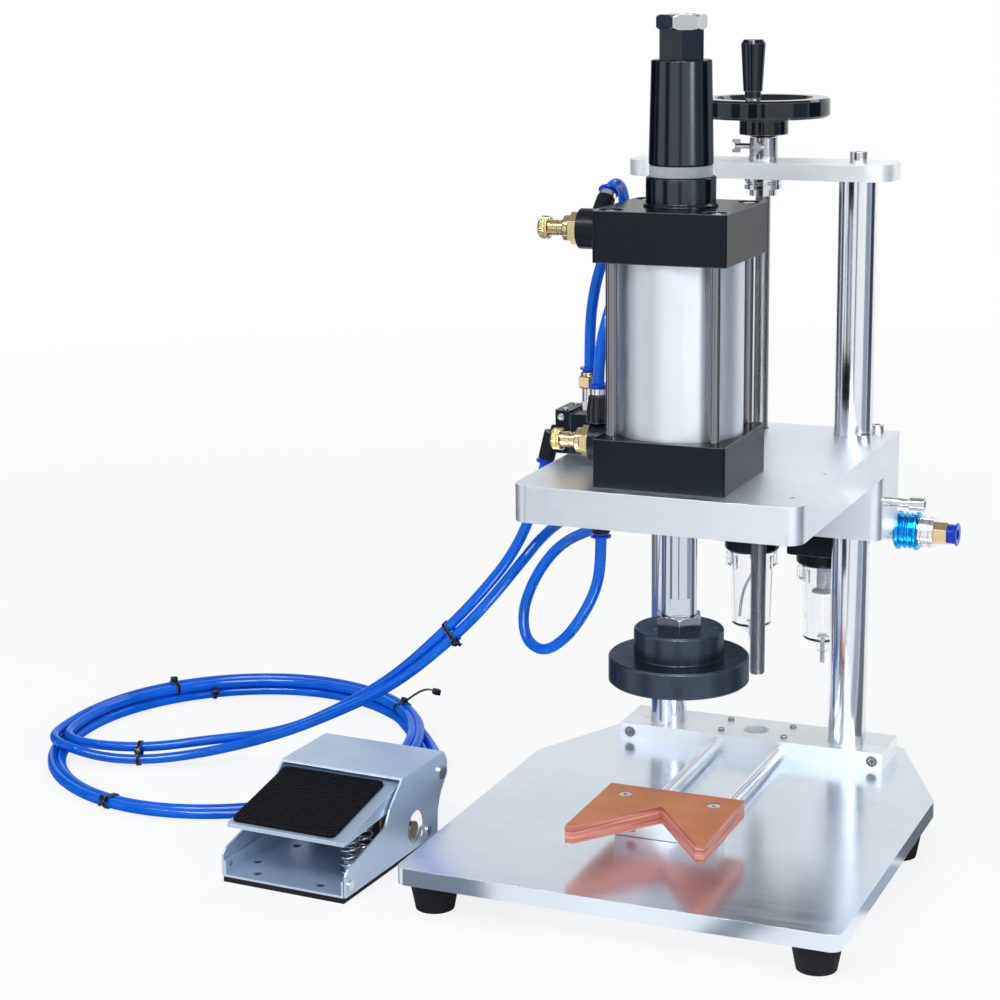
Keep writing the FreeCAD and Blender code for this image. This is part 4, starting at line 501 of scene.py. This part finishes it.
def add_inlet_rings():
    """Bright snap rings beside the sleeve, and the blue release ring in the inlet's mouth."""
    mesh = bmesh.new()
    for x, outer, width in ((116.4, 12.3, 1.1), (122.4, 12, 0.8)):
        lathe(mesh, ((11.4, 0), (outer, 0), (outer, width), (11.4, width)), (x, UNIT_Y, INLET_Z), RIGHT, 48,
              closed=True)
    bright = finished("inlet_snap_rings", mesh, "carriage")
    mesh = bmesh.new()
    lathe(mesh, ((4.3, 0), (7.5, 0), (7.5, 0.7), (8.9, 1.3), (8.9, 2.3), (8.3, 2.7), (4.3, 2.2)),
          (141.4, UNIT_Y, INLET_Z), RIGHT, 48, closed=True)
    return bright, finished("inlet_release_ring", mesh, "carriage")


LEFT_BOWL_X, RIGHT_BOWL_X = -20.5, 38.5
DIP_TUBE_RADIUS = 0.0011


def add_bowl_parts():
    """Dip tube, filter element and drain pins, seen through the two clear bowls."""
    mesh = bmesh.new()
    left, left_top, left_foot = LEFT_BOWL_X, 180.2, 117.5
    right, right_top, right_foot = RIGHT_BOWL_X, 174.2, 111.5
    route = [(left + 3, UNIT_Y, left_top), (left + 3, UNIT_Y, left_top - 16),
             (left - 7, UNIT_Y - 5, left_top - 34), (left - 8, UNIT_Y - 5, left_foot + 8)]
    bent, _ = as_tube(nurbs("DipTube", route, DIP_TUBE_RADIUS))
    mesh.from_mesh(bent.data)
    bmesh.ops.scale(mesh, vec=(1 / MM, 1 / MM, 1 / MM), verts=mesh.verts)
    bpy.data.objects.remove(bent)
    lathe(mesh, ((3.4, 0), (4.6, 0.6), (4.6, 7), (3, 8.5)), (left + 3, UNIT_Y, left_top), DOWN, 24)
    lathe(mesh, ((4, 0), (5.6, 0.5), (5.6, 19), (4, 20), (8.6, 21.5), (9.2, 23), (3, 24)),
          (right, UNIT_Y, right_top), DOWN, 32)
    for x, foot, drain in ((left, left_foot, 11.5), (right, right_foot, 20.5)):
        lathe(mesh, ((1.2, -2.5), (1.2, drain - 2)), (x, UNIT_Y, foot), DOWN, 16)
        lathe(mesh, ((2.8, 0), (3.4, 0.4), (3.4, 1.6), (2.8, 2)), (x, UNIT_Y, foot + 4.6), DOWN, 20)
    return finished("bowl_inner_parts", mesh, "carriage")


def add_bowl_ribs():
    """Upright grip ribs round the top of each bowl."""
    mesh = bmesh.new()
    count, radius, sizes, bevel = 8, 20.1, (1.6, 3.4, 10.5), 0.5
    for x, height in ((LEFT_BOWL_X, 173), (RIGHT_BOWL_X, 167)):
        for i in range(count):
            turn = math.tau * (i + 0.5) / count
            spoke = Vector((math.cos(turn), math.sin(turn), 0))
            centre = Vector((x, UNIT_Y, height)) + spoke * radius
            block(mesh, centre, (spoke, spoke.cross(UP), UP), sizes, bevel)
    return finished("bowl_ribs", mesh, "carriage")


def add_bright_rings():
    """Bright chamfers left where bores were cut through black or brushed faces."""
    mesh = bmesh.new()
    for x in (-36.5, 36.5):
        for y in (-80.5, -7.5):
            lathe(mesh, ((8.5, 0), (9.1, 0), (9.1, 0.12), (8.5, 0.12)), (x, y, 479), UP, 40, closed=True)
    cap = finished("counterbore_rims", mesh, "carriage")
    mesh = bmesh.new()
    lathe(mesh, ((9.3, 0), (10.2, 0), (10.2, 0.12), (9.3, 0.12)), (*SCREW_AXIS, 47.5), UP, 48, closed=True)
    return cap, finished("block_bore_rim", mesh, "base")


def add_valve_screws():
    """Two screws in the valve block's front end, and two pairs in its top."""
    mesh = bmesh.new()
    for z in (317, 295):
        lathe(mesh, ((2.9, 0), (2.9, 0.7), (2.3, 1.3), (1.2, 1.3), (1.0, 0.5)), (-108, 6, z), FRONT, 28)
    for x, seat in ((-106.5, 322), (-40, 320)):
        for y in (11, 32):
            lathe(mesh, ((2.2, 0), (2.2, 0.5), (1.7, 1), (1, 1), (0.9, 0.4)), (x, y, seat), UP, 24)
    return finished("valve_screws", mesh, "carriage")


SPRING_X, SPRING_RADIUS, SPRING_WIRE = 35, 7, 0.0009
SPRING_TURNS, SPRING_STEPS = 7, 16


def add_treadle_springs():
    """The two springs under the treadle."""
    springs = []
    bottom, total = 6.4, SPRING_TURNS * SPRING_STEPS
    for name, y, top in (("treadle_spring_front", -38, 44.3), ("treadle_spring_rear", -20, 47.9)):
        points = []
        for step in range(total + 1):
            turn = math.tau * step / SPRING_STEPS
            points.append(on_pedal(SPRING_X + SPRING_RADIUS * math.cos(turn), y + SPRING_RADIUS * math.sin(turn),
                                   bottom + (top - bottom) * step / total))
        piece, _ = as_tube(nurbs(name, points, SPRING_WIRE))
        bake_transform(piece)
        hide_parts("treadle_spring")
        springs.append(piece)
    return springs


def add_elbow_nut():
    """The hexagon of the brass elbow under the upper hose."""
    mesh = bmesh.new()
    foot = (-91, 20, 337.6)
    lathe(mesh, ((7.6, 0), (8.8, 0.9), (8.8, 8.2), (7.6, 9.1)), foot, UP, 6)
    lathe(mesh, ((6.2, 9), (6.6, 9.4), (6.6, 11)), foot, UP, 32)
    return finished("elbow_nut", mesh, "carriage")


def add_branch_sleeve():
    """The bell-shaped sleeve round the lower hose's branch."""
    mesh = bmesh.new()
    profile = ((6.4, 0), (8.6, 0.8), (8.6, 9), (7.8, 14), (7.2, 19.5), (6.4, 20))
    lathe(mesh, profile, (-59.7, FLOW_Y, 325.5), UP)
    return finished("branch_sleeve", mesh, "carriage")


# Materials
NOISE_LOW, NOISE_HIGH = 0.3, 0.7
# The second radius, the amount and both matches set a painted edge highlight, a lighter colour along rounded edges
EDGE_RADIUS, HIGHLIGHT_RADIUS = 0.0004, 0.0012
HIGHLIGHT_AMOUNT, HIGHLIGHT_MATCH, FLAT_MATCH = 0.8, 0.86, 0.985
FINE_GRAIN = 0.00001


class Look:
    """A node material, built up from its shader."""

    def __init__(self, name, colour, metallic=0.0, **sockets):
        self.material = bpy.data.materials.new(name)
        self.material.use_nodes = True
        self.tree = self.material.node_tree
        self.shader = self.tree.nodes["Principled BSDF"]
        self.set("Base Color", (*colour, 1))
        self.set("Metallic", metallic)
        for socket, value in sockets.items():
            self.set(socket.replace("_", " "), value)
        self.normal = None

    def set(self, socket, value):
        self.shader.inputs[socket].default_value = value

    def link(self, value, socket):
        self.tree.links.new(value, self.shader.inputs[socket])

    def node(self, kind, links=(), **settings):
        item = self.tree.nodes.new("ShaderNode" + kind)
        for name, value in settings.items():
            setattr(item, name, value)
        for socket, value in dict(links).items():
            if isinstance(value, bpy.types.NodeSocket):
                self.tree.links.new(value, item.inputs[socket])
            else:
                item.inputs[socket].default_value = value
        return item

    def math(self, operation, first, second=0.0, third=0.0):
        return self.node("Math", {0: first, 1: second, 2: third}, operation=operation).outputs[0]

    def mixed(self, factor, low, high):
        """One colour socket between two colours or sockets."""
        mix = self.node("Mix", {"Factor": factor}, data_type="RGBA")
        for socket, value in ((6, low), (7, high)):
            if isinstance(value, bpy.types.NodeSocket):
                self.tree.links.new(value, mix.inputs[socket])
            else:
                mix.inputs[socket].default_value = (*value, 1)
        return mix.outputs[2]

    def place(self, scale=(1, 1, 1), rotation=(0, 0, 0)):
        source = self.node("TexCoord").outputs["Object"]
        return self.node("Mapping", {"Vector": source, "Scale": scale, "Rotation": rotation}).outputs["Vector"]

    def noise(self, scale, stretch=(1, 1, 1), detail=4):
        links = {"Vector": self.place(stretch), "Scale": scale, "Detail": detail}
        return self.node("TexNoise", links).outputs["Fac"]

    def ranged(self, value, low, high, start=NOISE_LOW, end=NOISE_HIGH):
        links = {"Value": value, "From Min": start, "From Max": end, "To Min": low, "To Max": high}
        return self.node("MapRange", links).outputs["Result"]

    def rough(self, value, low, high):
        self.link(self.ranged(value, low, high), "Roughness")

    def tint(self, value, low, high):
        self.colour_socket = self.mixed(self.ranged(value, 0, 1), low, high)
        self.link(self.colour_socket, "Base Color")

    def bump(self, value, depth):
        links = {"Height": value, "Distance": depth, "Strength": 1.0}
        if self.normal:
            links["Normal"] = self.normal
        self.normal = self.node("Bump", links).outputs["Normal"]
        self.link(self.normal, "Normal")

    def soft_edges(self, radius=EDGE_RADIUS):
        if radius:
            self.normal = self.node("Bevel", {"Radius": radius}, samples=4).outputs["Normal"]
            self.link(self.normal, "Normal")
        return self

    def paint_edge_highlight(self, colour):
        """A painted highlight: a lighter colour where a rounded normal leaves the flat one, along the edges."""
        rounded = self.node("Bevel", {"Radius": HIGHLIGHT_RADIUS}, samples=6).outputs["Normal"]
        flat = self.node("NewGeometry").outputs["Normal"]
        match = self.node("VectorMath", {0: rounded, 1: flat}, operation="DOT_PRODUCT").outputs["Value"]
        edge_highlight = self.ranged(match, HIGHLIGHT_AMOUNT, 0, HIGHLIGHT_MATCH, FLAT_MATCH)
        self.colour_socket = self.mixed(edge_highlight, self.colour_socket, colour)
        self.link(self.colour_socket, "Base Color")

    def inside(self, low, high):
        """One inside an upright box of the model's own space, in millimetres, and nought outside."""
        parts = self.node("SeparateXYZ", {"Vector": self.node("TexCoord").outputs["Object"]}).outputs
        result = None
        for axis in range(3):
            for limit, operation in ((low[axis], "GREATER_THAN"), (high[axis], "LESS_THAN")):
                if limit is None:
                    continue
                step = self.math(operation, parts[axis], limit * MM)
                result = step if result is None else self.math("MULTIPLY", result, step)
        return result


def shade(colour, factor):
    """A colour made lighter or darker by a factor."""
    return tuple(min(1, channel * factor) for channel in colour)


def metal(name, colour, low, high, stretch=(1, 1, 1), scale=60, grain=FINE_GRAIN, edge_highlight=None, metallic=1.0, **sockets):
    """Metal with a grain along one way: the stretch is small along the grain. Low and high are its roughness."""
    look = Look(name, colour, metallic=metallic, **sockets).soft_edges()
    lines = look.noise(scale, stretch, detail=6)
    look.rough(lines, low, high)
    look.tint(look.noise(9, detail=3), shade(colour, 0.94), shade(colour, 1.03))
    # Painted highlight: a lighter colour along the edges
    if edge_highlight:
        look.paint_edge_highlight(edge_highlight)
    if grain:
        look.bump(lines, grain)
    return look.material


def plain(name, colour, low, high, scale, grain, mottle=0.12, edges=EDGE_RADIUS, edge_highlight=None, **sockets):
    """A finish that isn't metal, finely grained and faintly mottled."""
    look = Look(name, colour, **sockets).soft_edges(edges)
    specks = look.noise(scale, detail=3)
    look.rough(specks, low, high)
    look.tint(look.noise(30, detail=4), shade(colour, 1 - mottle), shade(colour, 1 + mottle))
    # Painted highlight: a lighter colour along the edges
    if edge_highlight:
        look.paint_edge_highlight(edge_highlight)
    look.bump(specks, grain)
    return look.material


BLACK = (0.004, 0.008, 0.015)
# Painted highlight colour for the edges of black parts
BLACK_EDGE_HIGHLIGHT = (0.20, 0.23, 0.28)


def black(name, gloss, coat, **sockets):
    """A black finish with a painted highlight along its edges. Its gloss is a thin coat alone, so it stays dark seen
    flat along a face.
    """
    return plain(name, BLACK, 0.5, 0.6, 300, FINE_GRAIN, edge_highlight=BLACK_EDGE_HIGHLIGHT, Specular_IOR_Level=0.0,
                 Coat_Weight=coat, Coat_Roughness=gloss, **sockets)


def zoned(name, default, zones):
    """Several finishes on one node, each (colour, metallic, low and high roughness) inside its boxes."""
    colour, metallic, low, high = default
    look = Look(name, colour, Specular_IOR_Level=0.25).soft_edges()
    grain = look.noise(160, detail=5)
    mottle = look.noise(24, detail=3)
    mixed = look.mixed(mottle, shade(colour, 0.9), shade(colour, 1.1))
    shine, start, end = metallic, low, high
    for (zone_colour, zone_metallic, zone_low, zone_high), boxes in zones:
        mask = None
        for box in boxes:
            inside = look.inside(*box)
            mask = inside if mask is None else look.math("MAXIMUM", mask, inside)
        zone_mixed = look.mixed(mottle, shade(zone_colour, 0.94), shade(zone_colour, 1.04))
        mixed = look.mixed(mask, mixed, zone_mixed)
        shine = look.ranged(mask, shine, zone_metallic, 0, 1)
        start = look.ranged(mask, start, zone_low, 0, 1)
        end = look.ranged(mask, end, zone_high, 0, 1)
    look.link(mixed, "Base Color")
    look.link(shine, "Metallic")
    look.link(look.ranged(grain, start, end), "Roughness")
    look.bump(grain, FINE_GRAIN)
    return look.material


# The edge colours given to metal() and plain() in this table are painted highlights along the parts' edges
BRIGHT_EDGE_HIGHLIGHT = (0.95, 0.96, 0.97)
BRASS_COLOUR = (0.82, 0.64, 0.36)
BASE_PLATE = metal("BasePlate", (0.82, 0.90, 1.0), 0.19, 0.25, (1, 7, 7), 22, grain=0)
MILLED = metal("MilledAluminium", (0.84, 0.90, 0.97), 0.36, 0.46, scale=140, grain=0.000003, edge_highlight=BRIGHT_EDGE_HIGHLIGHT)
GROUND = metal("GroundAluminium", (0.92, 0.96, 1.0), 0.34, 0.44, scale=140, grain=0.000003,
               edge_highlight=(0.98, 0.98, 0.98), metallic=0.55)
BARREL = metal("BarrelTube", (0.78, 0.83, 0.90), 0.42, 0.50, (8, 8, 1), 60, 0.000005)
CHROME = metal("ChromedRod", (0.80, 0.83, 0.88), 0.11, 0.17, (1, 1, 10), 90, 0.000003)
RAM_CHROME = metal("RamRodSteel", (0.62, 0.68, 0.76), 0.06, 0.12, (12, 12, 1), 60, 0.000004)
STEEL = metal("TurnedSteel", (0.46, 0.47, 0.49), 0.12, 0.24, (1, 1, 12), 120)
THREAD_STEEL = metal("ThreadSteel", (0.30, 0.31, 0.33), 0.10, 0.18, scale=120)
TIE_ROD_STEEL = metal("TieRodSteel", (0.25, 0.25, 0.27), 0.03, 0.09, (1, 1, 12), 120)
NUT_STEEL = metal("NutSteel", (0.50, 0.51, 0.53), 0.08, 0.16, scale=160, edge_highlight=(0.9, 0.9, 0.9))
DARK_SCREW = metal("DarkScrews", (0.20, 0.21, 0.235), 0.14, 0.24, scale=160, edge_highlight=(0.8, 0.81, 0.83))
ZINC = metal("PlatedSteel", (0.66, 0.67, 0.70), 0.08, 0.18, scale=200)
BRASS = metal("TurnedBrass", BRASS_COLOUR, 0.12, 0.24, (12, 1, 1), 160)
BRONZE = metal("Bronze", (0.60, 0.42, 0.20), 0.25, 0.40)
BLUE_ANODISED = metal("BlueAnodised", (0.02, 0.42, 0.92), 0.14, 0.22, (8, 1, 1), 120)
BLACKENED = metal("BlackenedSteel", (0.060, 0.070, 0.084), 0.15, 0.21, scale=300, grain=0.000004,
                  Specular_Tint=(0.45, 0.45, 0.5, 1))
HEAD_BLACK = metal("HeadBlack", (0.058, 0.078, 0.108), 0.26, 0.32, scale=200, grain=0.000002,
                   edge_highlight=(0.2, 0.24, 0.3), metallic=0.8, Specular_Tint=(0.5, 0.55, 0.6, 1))
ANODISED = black("BlackAnodised", 0.21, 0.75, Coat_IOR=1.33)
PLASTIC = black("BlackPlastic", 0.07, 1.0, Coat_IOR=1.5)
TIE_NYLON = black("TieNylon", 0.2, 0.5)
RUBBER = plain("BlackRubber", (0.014, 0.015, 0.018), 0.6, 0.8, 500, 0.00005, Specular_IOR_Level=0.15)
URETHANE = plain("GreyUrethane", (0.42, 0.44, 0.49), 0.40, 0.55, 300, 0.00002)
PEDAL_PAINT = plain("PedalPaint", (0.49, 0.62, 0.79), 0.30, 0.42, 900, FINE_GRAIN, mottle=0.05,
                    edge_highlight=(0.84, 0.90, 0.96), Metallic=0.45)
HOSE_BLUE = plain("BlueHose", (0.0006, 0.135, 0.76), 0.3, 0.4, 200, 0.000004, mottle=0.16, edges=0,
                  Specular_IOR_Level=0.0, Coat_Weight=0.7, Coat_Roughness=0.05, Coat_IOR=1.45)
RING_BLUE = plain("RingBlue", (0.004, 0.07, 0.68), 0.2, 0.3, 300, FINE_GRAIN, Specular_IOR_Level=0.2,
                  Coat_Weight=0.3, Coat_Roughness=0.1)

# Finishes of zoned(): colour, metallic, and low and high roughness
NICKEL_FINISH = ((0.84, 0.84, 0.86), 1.0, 0.10, 0.20)
BRASS_FINISH = (BRASS_COLOUR, 1.0, 0.12, 0.24)
BLACK_FINISH = (BLACK, 0.0, 0.22, 0.34)
# Painted shade: dark brown where gaps between the brass bush's rings would lie in shade
GAP_SHADE_PAINT = ((0.05, 0.035, 0.015), 0.6, 0.3, 0.45)
BLUE_FINISH = ((0.004, 0.045, 0.50), 0.0, 0.2, 0.3)
FLOW_CONTROL = zoned("FlowControl", BLACK_FINISH, (
    (BRASS_FINISH, (((None, -57, 448), (-72.1, -31, 474)), ((None, -57, 298), (-64.1, -31, 326)))),
    # Thin slices of painted gap shade across the brass bushes
    (GAP_SHADE_PAINT, tuple(((start, -57, z - 13), (end, -31, z + 13)) for z, near in ((461, -72), (312, -64))
                       for start, end in ((near - 0.9, near - 0.1), (near - 7.9, near - 7.2),
                                          (near - 11.8, near - 10.9))))))
FITTINGS = zoned("Fittings", BLACK_FINISH, (
    (NICKEL_FINISH, (((-100, 10, 310), (-83, 30, 337)), ((-68, -52, 345.5), (-52, -36, 352)),
                     ((-72, -30, 476), (-52, -14, 490)))),
    (BRASS_FINISH, (((-100, 10, 337), (-83, 30, 352)),))))
INLET_VALVE = zoned("InletValve", NICKEL_FINISH, (
    (BRASS_FINISH, (((126, None, None), (136, None, None)),)),
    (BLUE_FINISH, (((136, None, None), (None, None, None)),))))
PEDAL_VALVE = zoned("PedalValve", ((0.02, 0.022, 0.026), 0.0, 0.3, 0.45), (
    (BRASS_FINISH, (((-213, None, None), (None, None, None)),)),))


def clear_plastic():
    look = Look("ClearBowl", (0.97, 0.98, 1.0), Transmission_Weight=1.0, IOR=1.42)
    look.rough(look.noise(40), 0.0, 0.05)
    return look.material


def inner_white():
    look = Look("InnerPlastic", (0.74, 0.77, 0.82), Specular_IOR_Level=0.3)
    grain = look.noise(300)
    look.rough(grain, 0.35, 0.5)
    look.tint(look.noise(60), (0.66, 0.70, 0.76), (0.80, 0.83, 0.88))
    return look.material


def layered_board():
    """Phenolic sheet: brown on top, red layers along its cut edges."""
    look = Look("LayeredBoard", (0.45, 0.17, 0.05), Specular_IOR_Level=0.3).soft_edges(0.0005)
    weave = look.noise(500, (1, 1, 0.2), detail=5)
    look.rough(weave, 0.34, 0.48)
    layers = look.noise(60, (0.3, 0.3, 14), detail=2)
    up = look.node("SeparateXYZ", {"Vector": look.node("NewGeometry").outputs["Normal"]}).outputs["Z"]
    clouds = look.noise(22, detail=5)
    faces = look.mixed(look.ranged(clouds, 0, 1), (0.56, 0.175, 0.060), (0.74, 0.26, 0.098))
    edges = look.mixed(look.ranged(layers, 0, 1), (0.33, 0.070, 0.048), (0.76, 0.33, 0.25))
    look.link(look.mixed(look.ranged(up, 0, 1, 0.2, 0.8), edges, faces), "Base Color")
    look.bump(weave, 0.00002)
    return look.material


PAD_GRID = 3.5


def grid_rubber():
    """The treadle pad's rubber, with fine ribs along it that cross the cut grooves."""
    look = Look("PadRubber", (0.006, 0.007, 0.010), Specular_IOR_Level=0.06).soft_edges(0.0003)
    specks = look.noise(500, detail=3)
    look.rough(specks, 0.45, 0.65)
    look.tint(specks, (0.005, 0.006, 0.009), (0.009, 0.010, 0.014))
    turned = look.place(rotation=(0, 0, math.radians(-PEDAL[2])))
    across = look.node("SeparateXYZ", {"Vector": turned}).outputs["X"]
    wave = look.math("SINE", look.math("MULTIPLY", across, math.tau / (PAD_GRID * MM)))
    look.bump(look.ranged(wave, 0, 1, -0.95, -0.5), 0.0005)
    look.bump(specks, 0.00003)
    return look.material


CLEAR = clear_plastic()
INNER_WHITE = inner_white()
BOARD = layered_board()
PAD_RUBBER = grid_rubber()

FINISHES = {
    BASE_PLATE: ("base_plate",),
    MILLED: ("slide_block", "carriage_plate", "locator_bar"),
    GROUND: ("base_block", "top_plate"),
    BARREL: ("barrel",),
    CHROME: ("columns", "locator_rods"),
    RAM_CHROME: ("ram_rod",),
    STEEL: ("lock_collar", "treadle_spring", "crimp_collet", "handle_spindle", "lead_screw"),
    TIE_ROD_STEEL: ("tie_rods",),
    DARK_SCREW: ("base_block_screws",),
    ZINC: ("top_plate_bolts", "carriage_screws", "v_plate_screws", "lock_bolt",
           "pedal_pin_and_rivets", "screw_bearing"),
    NUT_STEEL: ("rod_nuts",),
    BRASS: ("upper_knob", "lower_knob"),
    BRONZE: ("slide_bushes", "lead_nut"),
    BLUE_ANODISED: ("slide_sleeve",),
    BLACKENED: ("stroke_sleeve", "rod_gland"),
    HEAD_BLACK: ("crimp_head",),
    ANODISED: ("lower_cap", "upper_cap", "valve_body", "air_unit_body"),
    PLASTIC: ("handwheel", "handle_grip", "regulator_knob"),
    RUBBER: ("rubber_feet", "pedal_mat"),
    PAD_RUBBER: ("treadle_pad",),
    URETHANE: ("cushion_ring", "piston"),
    CLEAR: ("air_unit_bowls",),
    BOARD: ("v_plate",),
    PEDAL_PAINT: ("pedal_base", "pedal_cover", "treadle"),
    FLOW_CONTROL: ("flow_controls",),
    FITTINGS: ("hose_fittings",),
    INLET_VALVE: ("slide_valve",),
    PEDAL_VALVE: ("pedal_valve",),
}


def finish_nodes():
    """Gives each solid of the frame its finish."""
    for material, names in FINISHES.items():
        for name in names:
            slots = NODES[name].data.materials
            slots.clear()
            slots.append(material)


def dress(material, *pieces):
    """Gives the scene's own pieces one material."""
    for piece in pieces:
        piece.data.materials.clear()
        piece.data.materials.append(material)


def add_pieces():
    dress(HOSE_BLUE, HOSE_A, HOSE_B, *CARRIAGE_HOSES)
    dress(TIE_NYLON, *TIES)
    bright_snap, blue_ring = add_inlet_rings()
    dress(THREAD_STEEL, add_lead_screw())
    dress(STEEL, *add_treadle_springs())
    dress(ZINC, add_thrust_balls(), bright_snap, *add_bright_rings(), add_valve_screws())
    dress(BRASS, add_knob("upper_knurled_knob", -83.7, 461, "upper_adjuster", "upper_knob"),
          add_knob("lower_knurled_knob", -75.7, 312, "lower_adjuster", "lower_knob"))
    dress(RING_BLUE, add_release_rings(), blue_ring)
    dress(BLUE_ANODISED, add_slide_sleeve())
    dress(BRASS, add_elbow_nut())
    dress(PLASTIC, add_branch_sleeve())
    dress(INNER_WHITE, add_bowl_parts())
    dress(CLEAR, add_bowl_ribs())


# Floor, lamps and background. Polished metal reflects a white room with dark upright flags, by start, end
# and colour, and a round softbox
FLAGS = (
    (-179.9, -160, (0.04, 0.06, 0.10)),
    (-133, -114, (0.07, 0.10, 0.15)),
    (-79, -70, (0.07, 0.10, 0.15)),
    (-22, 10, (0.30, 0.36, 0.46)),
    (11, 44, (0.035, 0.05, 0.075)),
    (138, 179.9, (0.04, 0.06, 0.10)),
)
FLAG_EDGE = 2.0
WHITE = (1, 1, 1)


def flags_by_azimuth(look, parts):
    """The flags' colours round the object, from the two level parts of a place or direction."""
    azimuth = look.math("ARCTAN2", parts["Y"], parts["X"])
    place = look.math("MULTIPLY_ADD", azimuth, 1 / math.tau, 0.5)
    ramp = look.node("ValToRGB", {"Fac": place})
    elements = ramp.color_ramp.elements
    for element, position in zip(elements, (0, 1)):
        element.position = position
        element.color = (*WHITE, 1)
    for start, end, colour in FLAGS:
        soft = min(FLAG_EDGE, (end - start) / 3)
        for angle, shown in ((start, WHITE), (start + soft, colour), (end - soft, colour), (end, WHITE)):
            elements.new(angle / 360 + 0.5).color = (*shown, 1)
    return ramp.outputs["Color"]


FLOOR_REACH = 40
FLOOR_WHITE, WHITE_START, WHITE_END = 0.82, 1.0, 2.6


def add_floor():
    """White paper. It turns plain white with distance, and reflections see the flags' colours in it."""
    look = Look("FloorPaper", (0.93, 0.935, 0.945), Specular_IOR_Level=0.0)
    look.rough(look.noise(8), 0.55, 0.65)
    place = look.node("TexCoord").outputs["Object"]
    parts = look.node("SeparateXYZ", {"Vector": place}).outputs
    distance = look.node("VectorMath", {0: place}, operation="LENGTH").outputs["Value"]
    rays = look.node("LightPath").outputs
    seen = look.math("MAXIMUM", rays["Is Camera Ray"], rays["Is Glossy Ray"])
    seen = look.math("MAXIMUM", seen, rays["Is Transmission Ray"])
    share = look.math("MULTIPLY", seen, look.ranged(distance, FLOOR_WHITE, 1, WHITE_START, WHITE_END))
    shown = look.mixed(rays["Is Glossy Ray"], WHITE, flags_by_azimuth(look, parts))
    glow = look.node("Emission", {"Color": shown, "Strength": 1.0})
    mix = look.node("MixShader", {0: share, 1: look.shader.outputs[0], 2: glow.outputs[0]})
    look.tree.links.new(mix.outputs[0], look.tree.nodes["Material Output"].inputs["Surface"])
    mesh = bpy.data.meshes.new("Floor")
    corners = [(FLOOR_REACH * x, FLOOR_REACH * y, 0) for x, y in ((-1, -1), (1, -1), (1, 1), (-1, 1))]
    mesh.from_pydata(corners, [], [(0, 1, 2, 3)])
    floor = placed("Floor", mesh)
    mesh.materials.append(look.material)


# Name, place, target, size, power and colour
LAMPS = (
    ("KeyLamp", (-0.9, -1.5, 2.0), (0, 0, 0.25), (1.9, 0.08), 22, WHITE),
    ("FillLamp", (1.9, -1.2, 1.1), (0, 0, 0.3), (0.5, 1.4), 10, (0.96, 0.98, 1)),
    ("BackLamp", (0.3, 1.7, 1.9), (0, 0, 0.3), (1.6, 0.5), 7, WHITE),
)


def add_lamps():
    """Three soft lamps, each turned to its target."""
    for name, place, target, size, power, colour in LAMPS:
        data = bpy.data.lights.new(name, "AREA")
        data.shape = "RECTANGLE"
        data.size, data.size_y = size
        data.energy = power
        data.color = colour
        lamp = placed(name, data)
        lamp.location = place
        lamp.rotation_euler = (Vector(place) - Vector(target)).to_track_quat("Z", "Y").to_euler()


SOFTBOX, SOFTBOX_STRENGTH = (0.21, -0.65, 0.73), 13
SOFTBOX_OUTER, SOFTBOX_INNER = 22, 18
FLAG_TOP, FLAG_TOP_END = 0.45, 0.75
SKY_START, SKY_END, SKY_LEVEL = 0.25, 0.6, 0.35
SOFT_LIGHT, SOFT_LEVEL = (0.90, 0.95, 1, 1), 0.55


class Room(Look):
    """The world, built with the same node helpers as a material."""

    def __init__(self, name):
        self.world = bpy.data.worlds.new(name)
        self.world.use_nodes = True
        self.tree = self.world.node_tree


def add_world():
    """White to the camera, a soft even light on matt faces, and flags with the softbox on polished ones."""
    room = Room("Studio")
    direction = room.node("TexCoord").outputs["Generated"]
    parts = room.node("SeparateXYZ", {"Vector": direction}).outputs
    height = room.math("ABSOLUTE", parts["Z"])
    above = room.ranged(height, 0, 1, FLAG_TOP, FLAG_TOP_END)
    upright = room.mixed(above, flags_by_azimuth(room, parts), WHITE)
    level = room.ranged(height, 1.0, SKY_LEVEL, SKY_START, SKY_END)
    facing = room.node("VectorMath", {0: direction, 1: SOFTBOX}, operation="DOT_PRODUCT").outputs["Value"]
    outer, inner = (math.cos(math.radians(angle)) for angle in (SOFTBOX_OUTER, SOFTBOX_INNER))
    level = room.math("ADD", level, room.ranged(facing, 0, SOFTBOX_STRENGTH, outer, inner))
    rays = room.node("LightPath").outputs
    soft = room.node("Background", {"Color": SOFT_LIGHT, "Strength": SOFT_LEVEL})
    flags = room.node("Background", {"Color": upright, "Strength": level})
    white = room.node("Background", {"Color": (*WHITE, 1), "Strength": 1.0})
    seen = room.math("MAXIMUM", rays["Is Camera Ray"], rays["Is Transmission Ray"])
    reflected = room.node("MixShader", {0: rays["Is Glossy Ray"], 1: soft.outputs[0], 2: flags.outputs[0]})
    final = room.node("MixShader", {0: seen, 1: reflected.outputs[0], 2: white.outputs[0]})
    room.tree.links.new(final.outputs[0], room.tree.nodes["World Output"].inputs["Surface"])
    bpy.context.scene.world = room.world


finish_nodes()
add_pieces()
add_floor()
add_lamps()
add_world()
bpy.context.scene.view_settings.view_transform = "Standard"
